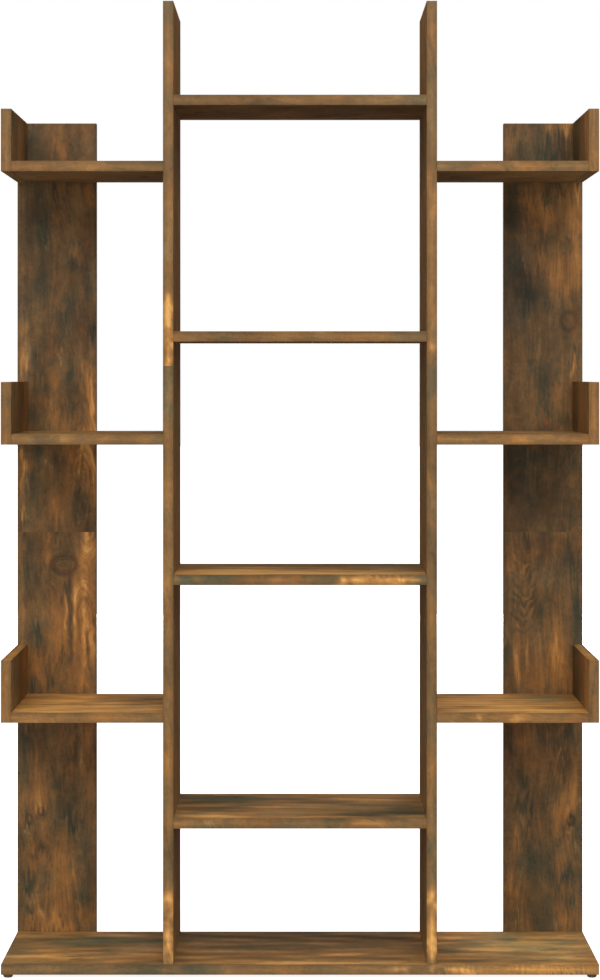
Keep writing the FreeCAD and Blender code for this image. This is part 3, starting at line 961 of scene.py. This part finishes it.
def face_print(points, size, axis, side, grain_axis, thickness_axis, node, look, seed):
    """The print at points of one face of a board: two grain coordinates, two flat ones and the stain.

    The stain, with its painted light, is the warmth, the tone, the figure and a painted shade, which darkens
    the face towards its long edges, for the rounded arris there, by an exponential of the distance from the
    nearer one.
    """
    tone, warmth = look
    width_axis = 3 - grain_axis - thickness_axis
    is_band = axis != thickness_axis
    across_axis = thickness_axis if is_band else width_axis
    along = points[:, width_axis if axis == grain_axis else grain_axis]
    across = points[:, across_axis]
    joint = NO_JOINT if axis == grain_axis else PLANK_JOINTS.get(node, NO_JOINT)
    name = face_name(axis, side)
    # Painted light: the top and side faces take a lighter tone than the front, rear and bottom.
    painted_light_tone, more_figure, stripe, spread = PLAIN_FACE if is_band else FACES.get(name, PLAIN_FACE)
    grain, flat, stain_and_painted_light = decor_fields(
        along, across, (node, name), (BAND_TONE if is_band else tone) + painted_light_tone, warmth,
        PLAIN_FIGURE + more_figure, stripe, seed * 20 + axis * 2 + side, joint * MM)
    # Painted shade along the long edges, for the rounded arris.
    near = np.minimum(across, size[across_axis] - across)
    shade = 1.0 - (BAND_EDGE_SHADE if is_band else FACE_EDGE_SHADE) * np.exp(-near / (EDGE_SHADE_WIDTH * MM))
    return np.concatenate([grain / spread, flat / spread, stain_and_painted_light, shade[:, None]], axis=-1)


def cells_near(stops, middle, reach, one, two):
    """Which cells of a face's grid have their own middle in the square round a place."""
    near = [np.abs((stops[line][:-1] + stops[line][1:]) / 2 - middle[line]) < reach for line in (one, two)]
    return near[0][:, None] & near[1][None, :]


def board_shell(low, high, grain_axis, thickness_axis, spacing, arris, node, look, seed, screws):
    """The closed skin of a board, with its print.

    Its six faces are grids of points, and where a screw goes in, a square of the grid gives way to its
    countersunk hole. It gives the points and the faces, the print at each face's corners, and which faces
    belong to an edge band and which to a rounded edge.
    """
    low = np.array(low)
    size = np.array(high) - low
    creases = [PLANK_JOINTS[node] * MM] if node in PLANK_JOINTS else []
    stops = []
    for axis in range(3):
        holes = [(place[axis] - low[axis], screw[1] * MM) for place, way, screw in screws if not way[axis]]
        if axis == grain_axis:
            stops.append(axis_stops(size[axis], arris, spacing[0], creases, holes))
        else:
            stops.append(axis_stops(size[axis], arris, spacing[1], [], holes))
    edges = [(line[:-1] < arris - SAME_PLACE) | (line[1:] > length - arris + SAME_PLACE)
             for line, length in zip(stops, size)]
    points, prints, quads, bands, rounds = [], [], [], [], []
    first = 0
    for axis, side in ((0, 0), (0, 1), (1, 0), (1, 1), (2, 0), (2, 1)):
        one, two = (axis + 1) % 3, (axis + 2) % 3
        flat, rounded = rounded_face(stops, size, arris, axis, side)
        kept = np.ones((len(stops[one]) - 1, len(stops[two]) - 1), dtype=bool)
        sheets = [rounded]
        for place, way, screw in screws:
            if way[axis] * (1 - 2 * side) > 0:
                middle = np.array(place) - low
                sheets.append(screw_hole(stops, middle, axis, side, screw))
                kept &= ~cells_near(stops, middle, SINK_MARGIN * screw[1] * MM, one, two)
        places = np.concatenate([sheet.reshape(-1, 3) for sheet in (flat, *sheets[1:])])
        prints.append(face_print(places, size, axis, side, grain_axis, thickness_axis, node, look, seed))
        on_edge = edges[one][:, None] | edges[two][None, :]
        for sheet in sheets:
            numbers = first + np.arange(sheet[..., 0].size).reshape(sheet.shape[:2])
            cells = wound_corners(numbers, side == 0)
            curved = np.zeros(len(cells), dtype=bool)
            if sheet is rounded:
                cells, curved = cells[kept.ravel()], on_edge[kept]
            points.append(sheet.reshape(-1, 3))
            quads.append(cells)
            rounds.append(curved)
            bands.append(np.full(len(cells), axis != thickness_axis))
            first += numbers.size
    corners = np.concatenate(quads)
    skin, faces = merged(np.concatenate(points), corners)
    return skin + low, faces, np.concatenate(prints)[corners], np.concatenate(bands), np.concatenate(rounds)


def own_corners(faces):
    """Which corners of each face aren't the same point as an earlier corner of it."""
    same = faces[:, :, None] == faces[:, None, :]
    return ~np.tril(same, -1).any(axis=2)


def add_mesh(name, points, faces):
    """A new mesh object at the origin, whose place is in its points."""
    mesh = bpy.data.meshes.new(name)
    mesh.from_pydata(points.tolist(), [], [list(dict.fromkeys(face)) for face in faces.tolist()])
    piece = bpy.data.objects.new(name, mesh)
    bpy.context.scene.collection.objects.link(piece)
    return piece


def finish_piece(piece, slot, *nodes):
    """Lets the piece ride on the bookcase and stand for its nodes. The slot is not used."""
    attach(piece, "root")
    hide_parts(*nodes)
    return piece


def add_board(scene, node, grain_axis, thickness_axis, look, spacing, seed):
    """Makes one board round its node's box, with the print on its faces and the band on its edges."""
    arris, decor = scene.bookcase_boards.arris * MM, scene.bookcase_decor
    low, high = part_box(node)
    screws = [(place, way, screw) for board, place, way, screw in screw_places() if board == node]
    points, faces, prints, band, rounded = board_shell(
        low, high, grain_axis, thickness_axis, spacing, arris, node, look, seed, screws)
    piece = add_mesh(f"{node}_faced", points, faces)
    mesh = piece.data
    corners = prints[own_corners(faces)]
    mesh.uv_layers.new(name="grain").data.foreach_set("uv", corners[:, 0:2].ravel())
    mesh.uv_layers.new(name="flat").data.foreach_set("uv", corners[:, 2:4].ravel())
    mesh.attributes.new("stain_and_painted_light", "FLOAT_COLOR", "CORNER").data.foreach_set("color", corners[:, 4:8].ravel())
    mesh.polygons.foreach_set("material_index", band.astype(np.int32))
    mesh.polygons.foreach_set("use_smooth", rounded)
    mesh.materials.append(smoked_oak("smoked_oak_melamine", decor, contrast=1.0, roughness=0.40))
    mesh.materials.append(smoked_oak("smoked_oak_edge_band", decor, contrast=0.80, roughness=0.36))
    mesh.update()
    return finish_piece(piece, "smoked_oak_board", node)


def add_boards(scene, boards, grain_axis, thickness_axis, spacing, first_seed):
    """Makes the boards of one kind, each with a seed of its own; the spacing is a cell's size each way."""
    for seed, (node, look) in enumerate(boards.items(), first_seed):
        add_board(scene, node, grain_axis, thickness_axis, look, spacing, seed)


def screw_places():
    """Every screw: its board, the middle of its head's face, its way into the board and its sizes."""
    places = []
    base_low, base_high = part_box("base_board")
    for upright in UPRIGHTS:
        low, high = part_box(upright)
        for y in (low.y + BASE_SCREW_EDGE * MM, high.y - BASE_SCREW_EDGE * MM):
            places.append(("base_board", ((low.x + high.x) / 2, y, base_low.z), (0, 0, 1), BASE_SCREW))
    base_middle = (base_low.z + base_high.z) / 2
    for hand, side in (("left", -1), ("right", 1)):
        board = f"{hand}_back_board"
        low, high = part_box(board)
        inner, outer = (low.x, high.x) if side > 0 else (high.x, low.x)
        inset = side * BACK_SCREW_EDGE * MM
        spots = [(inner + inset, base_middle), (outer - inset, base_middle)]
        for level in ("low", "middle", "high"):
            shelf_low, shelf_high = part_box(f"{level}_{hand}_shelf")
            end_low, end_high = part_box(f"{level}_{hand}_end_board")
            spots.append((inner + inset, (shelf_low.z + shelf_high.z) / 2))
            spots.append(((end_low.x + end_high.x) / 2, (end_low.z + end_high.z) / 2))
        places.extend((board, (x, high.y, z), (0, -1, 0), BACK_SCREW) for x, z in spots)
    return places


def shelf_ends():
    """Each end of a shelf: the middle of its joint, its way into the shelf, and if an end board is there."""
    ends = []
    for node in (*CENTRE_SHELVES, *SIDE_SHELVES):
        low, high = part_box(node)
        middle = (low + high) / 2
        for x, way in ((low.x, 1), (high.x, -1)):
            at_end_board = node in SIDE_SHELVES and abs(x) > abs(middle.x)
            ends.append(((x, middle.y, middle.z), (way, 0, 0), at_end_board))
    return ends


def round_skins(radius, height, places):
    """Points and faces of copies of one round body.

    It is a grid of stations along the body and of angles round it. A point lies at its radius times the
    cosine and the sine of the angle, and at its height along the axis, all in millimetres. The last angle is
    the first one again. A place is a point and the way that the axis goes from there.
    """
    angle = np.linspace(0.0, 2 * np.pi, radius.shape[1])
    local = np.stack([radius * np.cos(angle), radius * np.sin(angle), height], axis=-1) * MM
    local[:, -1] = local[:, 0]
    points, quads = [], []
    for number, (place, way) in enumerate(places):
        side = np.roll(np.abs(way), 1)
        basis = np.stack([side, np.cross(way, side), way])
        points.append((local @ basis + place).reshape(-1, 3))
        numbers = number * radius.size + np.arange(radius.size).reshape(radius.shape)
        quads.append(wound_corners(numbers, True))
    return merged(np.concatenate(points), np.concatenate(quads))


def eased_profile(corners, ease, steps=4):
    """A profile of radius and height whose corners are rounded off.

    The ease is how far from a corner its bend begins, but no more than a share of the shorter side there.
    The bend is the quadratic curve that has the corner as its middle control point.
    """
    corners = np.array(corners, dtype=float)
    points = [corners[:1]]
    share = np.linspace(0.0, 1.0, steps)[:, None]
    for before, corner, after in zip(corners[:-2], corners[1:-1], corners[2:]):
        back, onward = before - corner, after - corner
        back_length, onward_length = np.linalg.norm(back), np.linalg.norm(onward)
        reach = min(ease, EASE_SHARE * back_length, EASE_SHARE * onward_length)
        start = corner + reach * back / back_length
        stop = corner + reach * onward / onward_length
        points.append((1 - share) ** 2 * start + 2 * share * (1 - share) * corner + share ** 2 * stop)
    return np.concatenate([*points, corners[-1:]])


def turned_grids(profile, sides):
    """The radius and height grids of a profile that is the same all round."""
    radius, height = profile.T
    return (np.repeat(radius[:, None], sides + 1, axis=1), np.repeat(height[:, None], sides + 1, axis=1))


def thread_radius(height, angle, pitch, core, crest):
    """The radius of a thread: the core's, and a ridge up to the crest in the middle half of each pitch.

    Where a point is in its pitch is the fraction of its height in pitches less its share of the turn.
    """
    share = (height / pitch - angle / (2 * np.pi)) % 1.0
    return core + (crest - core) * np.clip(1.0 - np.abs(4.0 * share - 2.0), 0.0, 1.0)


def screw_grids(screw, recess_depth, sides=32):
    """A countersunk wood screw with a cross recess, from its head's face at zero to its point.

    The recess is as deep as twice the distance that a point of the face lies inside two crossed slots, down
    to a floor. The thread's radius shrinks in a straight line over the point.
    """
    length, head, cone, crest, pitch, thread_start = screw
    angle = np.linspace(0.0, 2 * np.pi, sides + 1)[None, :]
    face = np.linspace(0.0, head - HEAD_RIM, 10)[:, None] + 0.0 * angle
    near, far = np.sort(np.abs([face * np.cos(angle), face * np.sin(angle)]), axis=0)
    inside = np.minimum(SLOT_SHARE * head - near, SLOT_REACH_SHARE * head - far)
    sunk = np.clip(2.0 * inside, 0.0, recess_depth)
    core, shank = CORE_SHARE * crest, SHANK_SHARE * crest
    collar = eased_profile([(head - HEAD_RIM / 2, 0.0), (head, HEAD_RIM), (shank, cone),
                            (shank, thread_start), (core, thread_start + THREAD_RUNOUT)], SCREW_EASE)
    neck, drop = turned_grids(collar, sides)
    threaded = np.arange(thread_start + 2 * THREAD_RUNOUT, length, pitch / SCREW_STATIONS)
    height = threaded[:, None] + 0.0 * angle
    point = np.clip((length - height) / (POINT_SHARE * crest), 0.0, 1.0)
    thread = thread_radius(height, angle, pitch, core, crest) * point
    tip = np.full((1, sides + 1), float(length))
    return np.concatenate([face, neck, thread, 0.0 * tip]), np.concatenate([sunk, drop, height, tip])


def cam_bolt_grids(sides=24):
    """A cam bolt: a thread for the wall below zero, then the shank, the neck and the head in the cam."""
    start, stop, pitch, core, crest = BOLT_THREAD
    angle = np.linspace(0.0, 2 * np.pi, sides + 1)[None, :]
    height = np.arange(start, stop, pitch / BOLT_STATIONS)[:, None] + 0.0 * angle
    taper = np.clip(BOLT_TIP_SHARE + (height - start) / BOLT_TAPER, 0.0, 1.0)
    thread = thread_radius(height, angle, pitch, core, crest) * taper
    neck, rise = turned_grids(eased_profile(BOLT_OUTLINE, BOLT_EASE), sides)
    return np.concatenate([0.0 * thread[:1], thread, neck]), np.concatenate([height[:1], height, rise])


def dowel_grids(flutes, sides):
    """A fluted dowel: its radius is a cosine of the angle times the flutes, and its ends are drawn in."""
    radius, tip, chamfer, length = DOWEL
    outline = [(0.0, 0.0), (tip, 0.0), (radius, chamfer), (radius, length - chamfer), (tip, length),
               (0.0, length)]
    radii, height = turned_grids(np.array(outline), sides)
    groove = FLUTE_DEPTH / 2 * (1.0 - np.cos(np.linspace(0.0, 2 * np.pi * flutes, sides + 1)))
    return radii - groove[None, :] * (radii > tip), height


def add_fitting(name, skin, material, slot, *nodes):
    """Makes a piece from a skin's points and faces, smooth but for its sharp edges."""
    piece = add_mesh(name, *skin)
    piece.data.polygons.foreach_set("use_smooth", np.ones(len(piece.data.polygons), dtype=bool))
    piece.data.set_sharp_from_angle(angle=math.radians(SHARP_ANGLE))
    piece.data.materials.append(material)
    return finish_piece(piece, slot, *nodes)


def dress_node(node, material):
    """Gives a node of the frame that keeps its own shape a better finish."""
    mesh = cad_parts[node].data
    mesh.materials.clear()
    mesh.materials.append(material)


class BookcaseBoards(bpy.types.PropertyGroup):
    """Sizes of the boards' skins."""

    arris: FloatProperty(
        name="Arris", description="Radius of the rounded edges, in millimetres", default=0.5, min=0.1)
    fine_step: FloatProperty(
        name="Fine step", description="Cell of the back boards' grid across the grain, in millimetres",
        default=2.0, min=1.0)
    coarse_step: FloatProperty(
        name="Coarse step", description="Cell of the other boards' grids, in millimetres",
        default=6.0, min=2.0)


class BookcaseDecor(bpy.types.PropertyGroup):
    """Scale of the smoked oak print, in millimetres."""

    fine_grain: FloatProperty(
        name="Fine grain", description="Width of the finest streaks, in millimetres", default=1.6, min=0.2)
    growth_ring: FloatProperty(
        name="Growth ring", description="Width of the growth bands, in millimetres", default=6.0, min=1.0)
    cloud: FloatProperty(
        name="Cloud", description="Width of the smoky clouds, in millimetres", default=34.0, min=5.0)
    pore_depth: FloatProperty(
        name="Pore depth", description="Depth of the pressed pores, in millimetres", default=0.12, min=0.0)


class BookcaseFittings(bpy.types.PropertyGroup):
    """Details of the fittings."""

    dowel_flutes: IntProperty(name="Dowel flutes", description="Grooves round each dowel", default=16, min=6)
    recess_depth: FloatProperty(
        name="Recess depth", description="Depth of the cross in a screw's head, in millimetres", default=1.1,
        min=0.2)
    disc_dome: FloatProperty(
        name="Disc dome", description="Ease of a cover disc's rim, in millimetres", default=0.3, min=0.05)
    glide_ease: FloatProperty(
        name="Glide ease", description="Rounding of a glide's edges, in millimetres", default=0.9, min=0.1)


class BookcaseStudio(bpy.types.PropertyGroup):
    """The camera, its lens and the light."""

    eye: FloatVectorProperty(
        name="Eye", description="Where the camera stands", default=(0.0, -4.1805, 0.868),
        subtype="TRANSLATION", unit="LENGTH")
    lens: FloatProperty(name="Lens", description="Focal length in millimetres", default=103.6, min=10.0)
    drop: FloatProperty(
        name="Drop", description="Vertical shift of the frame, as a share of its height", default=-0.118)
    front_light: FloatProperty(
        name="Front light", description="Power of the softbox in front", default=240.0, unit="POWER")
    rear_light: FloatProperty(
        name="Rear light", description="Power of the softbox behind", default=75.0, unit="POWER")
    dome: FloatProperty(
        name="Dome", description="Brightness of the white tent above the floor", default=0.75, min=0.0)
    bounce: FloatProperty(
        name="Bounce", description="Brightness that the pale floor gives back", default=0.60, min=0.0)


class BOOKCASE_OT_back_boards(bpy.types.Operator):
    """Adds the two back boards, which stand behind the trays with their grain upright."""

    bl_idname = "bookcase.back_boards"
    bl_label = "Back Boards"

    def execute(self, context):
        step = context.scene.bookcase_boards.fine_step * MM
        add_boards(context.scene, BACK_BOARDS, Z_AXIS, Y_AXIS, (step * 1.3, step), first_seed=11)
        return {"FINISHED"}


class BOOKCASE_OT_uprights(bpy.types.Operator):
    """Adds the two uprights of the centre column, with their grain upright."""

    bl_idname = "bookcase.uprights"
    bl_label = "Uprights"

    def execute(self, context):
        step = context.scene.bookcase_boards.coarse_step * MM
        add_boards(context.scene, UPRIGHTS, Z_AXIS, X_AXIS, (step / 2, step), first_seed=21)
        return {"FINISHED"}


class BOOKCASE_OT_base_board(bpy.types.Operator):
    """Adds the base board, with its grain from side to side."""

    bl_idname = "bookcase.base_board"
    bl_label = "Base Board"

    def execute(self, context):
        step = context.scene.bookcase_boards.coarse_step * MM
        add_boards(context.scene, BASE_BOARDS, X_AXIS, Z_AXIS, (step / 3, step), first_seed=31)
        return {"FINISHED"}


class BOOKCASE_OT_centre_shelves(bpy.types.Operator):
    """Adds the four shelves between the uprights, with their grain from side to side."""

    bl_idname = "bookcase.centre_shelves"
    bl_label = "Centre Shelves"

    def execute(self, context):
        step = context.scene.bookcase_boards.coarse_step * MM
        add_boards(context.scene, CENTRE_SHELVES, X_AXIS, Z_AXIS, (step / 2, step), first_seed=41)
        return {"FINISHED"}


class BOOKCASE_OT_side_shelves(bpy.types.Operator):
    """Adds the six short shelves of the side trays, with their grain from side to side."""

    bl_idname = "bookcase.side_shelves"
    bl_label = "Side Shelves"

    def execute(self, context):
        step = context.scene.bookcase_boards.coarse_step * MM
        add_boards(context.scene, SIDE_SHELVES, X_AXIS, Z_AXIS, (step, step), first_seed=51)
        return {"FINISHED"}


class BOOKCASE_OT_end_boards(bpy.types.Operator):
    """Adds the six low end boards of the side trays, with their grain upright."""

    bl_idname = "bookcase.end_boards"
    bl_label = "End Boards"

    def execute(self, context):
        step = context.scene.bookcase_boards.coarse_step * MM
        add_boards(context.scene, END_BOARDS, Z_AXIS, X_AXIS, (step, step), first_seed=61)
        return {"FINISHED"}


class BOOKCASE_OT_glides(bpy.types.Operator):
    """Adds the four glides under the base board's corners, with rounded rims and a hole for the nail."""

    bl_idname = "bookcase.glides"
    bl_label = "Glides"

    def execute(self, context):
        ease = context.scene.bookcase_fittings.glide_ease
        for node in GLIDES:
            low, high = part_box(node)
            top, height = (high.x - low.x) / 2 / MM, (high.z - low.z) / MM
            profile = eased_profile([
                (NAIL_HOLE, height), (NAIL_HOLE, NAIL_RECESS_DEPTH), (NAIL_RECESS, NAIL_RECESS_DEPTH),
                (NAIL_RECESS, 0.0), (GLIDE_FOOT_SHARE * top, 0.0), (top, GLIDE_KNEE_SHARE * height),
                (top, height), (NAIL_HOLE, height)], ease)
            place = ((low.x + high.x) / 2, (low.y + high.y) / 2, low.z)
            skin = round_skins(*turned_grids(profile, GLIDE_SIDES), [(place, (0, 0, 1))])
            add_fitting(f"{node}_moulded", skin, moulded_plastic(), "glide_plastic", node)
        return {"FINISHED"}


class BOOKCASE_OT_cover_discs(bpy.types.Operator):
    """Adds the discs that are stuck over the cams, on the undersides of the shelves."""

    bl_idname = "bookcase.cover_discs"
    bl_label = "Cover Discs"

    def execute(self, context):
        low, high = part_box("highest_centre_shelf")
        half = (high.z - low.z) / 2
        places = []
        for place, way, _ in shelf_ends():
            places.append(((place[0] + way[0] * CAM_DISTANCE * MM, place[1], place[2] - half), (0, 0, -1)))
        radius, thickness = DISC
        profile = eased_profile([(0.0, 0.0), (radius, 0.0), (radius, thickness), (0.0, thickness)],
                                context.scene.bookcase_fittings.disc_dome)
        skin = round_skins(*turned_grids(profile, DISC_SIDES), places)
        add_fitting("cover_discs_domed", skin, printed_foil(), "cover_disc", "cam_cover_discs")
        return {"FINISHED"}


class BOOKCASE_OT_screws(bpy.types.Operator):
    """Adds the screws up through the base board and those forward through the back boards."""

    bl_idname = "bookcase.screws"
    bl_label = "Screws"

    def execute(self, context):
        depth = context.scene.bookcase_fittings.recess_depth
        for node, kind in (("base_screws", BASE_SCREW), ("back_board_screws", BACK_SCREW)):
            places = [(place, way) for _, place, way, screw in screw_places() if screw is kind]
            skin = round_skins(*screw_grids(kind, depth), places)
            add_fitting(f"{node}_threaded", skin, plated_metal(*PLATED_STEEL), "zinc_plated_steel", node)
        return {"FINISHED"}


class BOOKCASE_OT_dowels(bpy.types.Operator):
    """Adds the fluted dowels: two at a shelf's end on an upright, and one at its end on an end board."""

    bl_idname = "bookcase.dowels"
    bl_label = "Dowels"

    def execute(self, context):
        low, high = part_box("lowest_centre_shelf")
        places = []
        for place, way, at_end_board in shelf_ends():
            x = place[0] - way[0] * DOWEL_SINK * MM
            places.append(((x, low.y + DOWEL_EDGE * MM, place[2]), way))
            if not at_end_board:
                places.append(((x, high.y - DOWEL_EDGE * MM, place[2]), way))
        flutes = context.scene.bookcase_fittings.dowel_flutes
        skin = round_skins(*dowel_grids(flutes, 4 * flutes), places)
        add_fitting("dowels_fluted", skin, beech(), "beech_dowel", "shelf_dowels")
        return {"FINISHED"}


class BOOKCASE_OT_cam_fittings(bpy.types.Operator):
    """Adds the threaded bolts, and finishes the cams that grip them and the glides' nails."""

    bl_idname = "bookcase.cam_fittings"
    bl_label = "Cam Fittings"

    def execute(self, context):
        steel = plated_metal(*PLATED_STEEL)
        skin = round_skins(*cam_bolt_grids(), [(place, way) for place, way, _ in shelf_ends()])
        add_fitting("cam_bolts_threaded", skin, steel, "zinc_plated_steel", "cam_bolts")
        dress_node("cam_locks", plated_metal(*DIE_CAST_ZINC))
        dress_node("glide_nails", steel)
        return {"FINISHED"}


def add_softbox(name, place, size, power, mirrored):
    """A square area light at a place, turned to the bookcase's middle, which the camera doesn't see."""
    light = bpy.data.lights.new(name, "AREA")
    light.shape = "SQUARE"
    light.size = size
    light.energy = power
    lamp = bpy.data.objects.new(name, light)
    lamp.location = place
    aim = (cad_low + cad_high) / 2
    lamp.rotation_euler = (aim - Vector(place)).to_track_quat("-Z", "Y").to_euler()
    lamp.visible_camera = False
    lamp.visible_glossy = mirrored
    bpy.context.scene.collection.objects.link(lamp)
    return lamp


def studio_world(dome, bounce):
    """A white tent that the camera sees plain white.

    The dome lights from above and its pale floor gives a little back from below.
    """
    world = bpy.data.worlds.new("studio")
    world.use_nodes = True
    tree = world.node_tree
    tree.nodes.clear()
    path = add_node(tree, "ShaderNodeLightPath")
    way = add_node(tree, "ShaderNodeSeparateXYZ", inputs={
        0: add_node(tree, "ShaderNodeTexCoord").outputs["Generated"]})
    tent = add_node(tree, "ShaderNodeMapRange", inputs={
        0: way.outputs["Z"], 1: -HORIZON, 2: HORIZON, 3: bounce, 4: dome})
    strength = add_node(tree, "ShaderNodeMix", inputs={
        0: path.outputs["Is Camera Ray"], 2: tent.outputs[0], 3: 1.0})
    background = add_node(tree, "ShaderNodeBackground", inputs={
        "Color": (1.0, 1.0, 1.0, 1.0), "Strength": strength.outputs[0]})
    add_node(tree, "ShaderNodeOutputWorld", inputs={"Surface": background.outputs[0]})
    return world


def pale_floor():
    """A white studio floor, painted and lit from within so that it stays white to its far edge."""
    corners = np.array([[-1.0, -1.0, 0.0], [1.0, -1.0, 0.0], [1.0, 1.0, 0.0], [-1.0, 1.0, 0.0]])
    floor = add_mesh("floor", FLOOR_REACH * corners, np.array([[0, 1, 2, 3]]))
    material, tree, shader = new_material("white_floor")
    place = add_node(tree, "ShaderNodeTexCoord").outputs["Object"]
    mottle = add_node(tree, "ShaderNodeTexNoise", inputs={"Vector": place, "Scale": 1 / FLOOR_MOTTLE})
    matt = add_node(tree, "ShaderNodeMapRange", inputs={0: mottle.outputs["Fac"], 3: 0.7, 4: 0.85})
    tree.links.new(matt.outputs[0], shader.inputs["Roughness"])
    shader.inputs["Base Color"].default_value = linear("#ffffff")
    shader.inputs["Emission Color"].default_value = linear("#ffffff")
    shader.inputs["Emission Strength"].default_value = 0.8
    shader.inputs["Specular IOR Level"].default_value = 0.0
    floor.data.materials.append(material)
    floor.visible_diffuse = False
    floor.visible_glossy = False
    return floor


class BOOKCASE_OT_stage(bpy.types.Operator):
    """Adds the floor, the two softboxes, the white tent and the camera."""

    bl_idname = "bookcase.stage"
    bl_label = "Stage"

    def execute(self, context):
        scene = context.scene
        studio = scene.bookcase_studio
        pale_floor()
        add_softbox("front_softbox", *FRONT_SOFTBOX, studio.front_light, True)
        add_softbox("rear_softbox", *REAR_SOFTBOX, studio.rear_light, False)
        scene.world = studio_world(studio.dome, studio.bounce)
        scene.world.cycles_visibility.glossy = False
        lens = bpy.data.cameras.new("camera")
        lens.lens = studio.lens
        lens.sensor_width = SENSOR_WIDTH
        lens.shift_y = studio.drop
        camera = bpy.data.objects.new("camera", lens)
        camera.location = studio.eye
        camera.rotation_euler = (math.pi / 2, 0.0, 0.0)
        scene.collection.objects.link(camera)
        scene.camera = camera
        scene.view_settings.view_transform = "Standard"
        return {"FINISHED"}


OPERATORS = (
    BOOKCASE_OT_back_boards,
    BOOKCASE_OT_uprights,
    BOOKCASE_OT_base_board,
    BOOKCASE_OT_centre_shelves,
    BOOKCASE_OT_side_shelves,
    BOOKCASE_OT_end_boards,
    BOOKCASE_OT_glides,
    BOOKCASE_OT_cover_discs,
    BOOKCASE_OT_screws,
    BOOKCASE_OT_dowels,
    BOOKCASE_OT_cam_fittings,
    BOOKCASE_OT_stage,
)


class BOOKCASE_PT_panel(bpy.types.Panel):
    """Lists the bookcase's pieces and its stage."""

    bl_idname = "BOOKCASE_PT_panel"
    bl_label = "Bookcase"
    bl_space_type = "VIEW_3D"
    bl_region_type = "UI"
    bl_category = "Bookcase"

    def draw(self, context):
        for operator in OPERATORS:
            self.layout.operator(operator.bl_idname)


SETTINGS = {
    "bookcase_boards": BookcaseBoards,
    "bookcase_decor": BookcaseDecor,
    "bookcase_fittings": BookcaseFittings,
    "bookcase_studio": BookcaseStudio,
}


def register():
    """Registers the settings, the operators and the panel."""
    for kind in (*SETTINGS.values(), *OPERATORS, BOOKCASE_PT_panel):
        bpy.utils.register_class(kind)
    for name, kind in SETTINGS.items():
        setattr(bpy.types.Scene, name, PointerProperty(type=kind))


def unregister():
    """Takes away what register added, in the reverse order."""
    for name in SETTINGS:
        delattr(bpy.types.Scene, name)
    for kind in (BOOKCASE_PT_panel, *reversed(OPERATORS), *SETTINGS.values()):
        bpy.utils.unregister_class(kind)


def main():
    """Makes every piece and the stage."""
    register()
    bpy.ops.bookcase.back_boards()
    bpy.ops.bookcase.uprights()
    bpy.ops.bookcase.base_board()
    bpy.ops.bookcase.centre_shelves()
    bpy.ops.bookcase.side_shelves()
    bpy.ops.bookcase.end_boards()
    bpy.ops.bookcase.glides()
    bpy.ops.bookcase.cover_discs()
    bpy.ops.bookcase.screws()
    bpy.ops.bookcase.dowels()
    bpy.ops.bookcase.cam_fittings()
    bpy.ops.bookcase.stage()


if __name__ == "__main__":
    main()
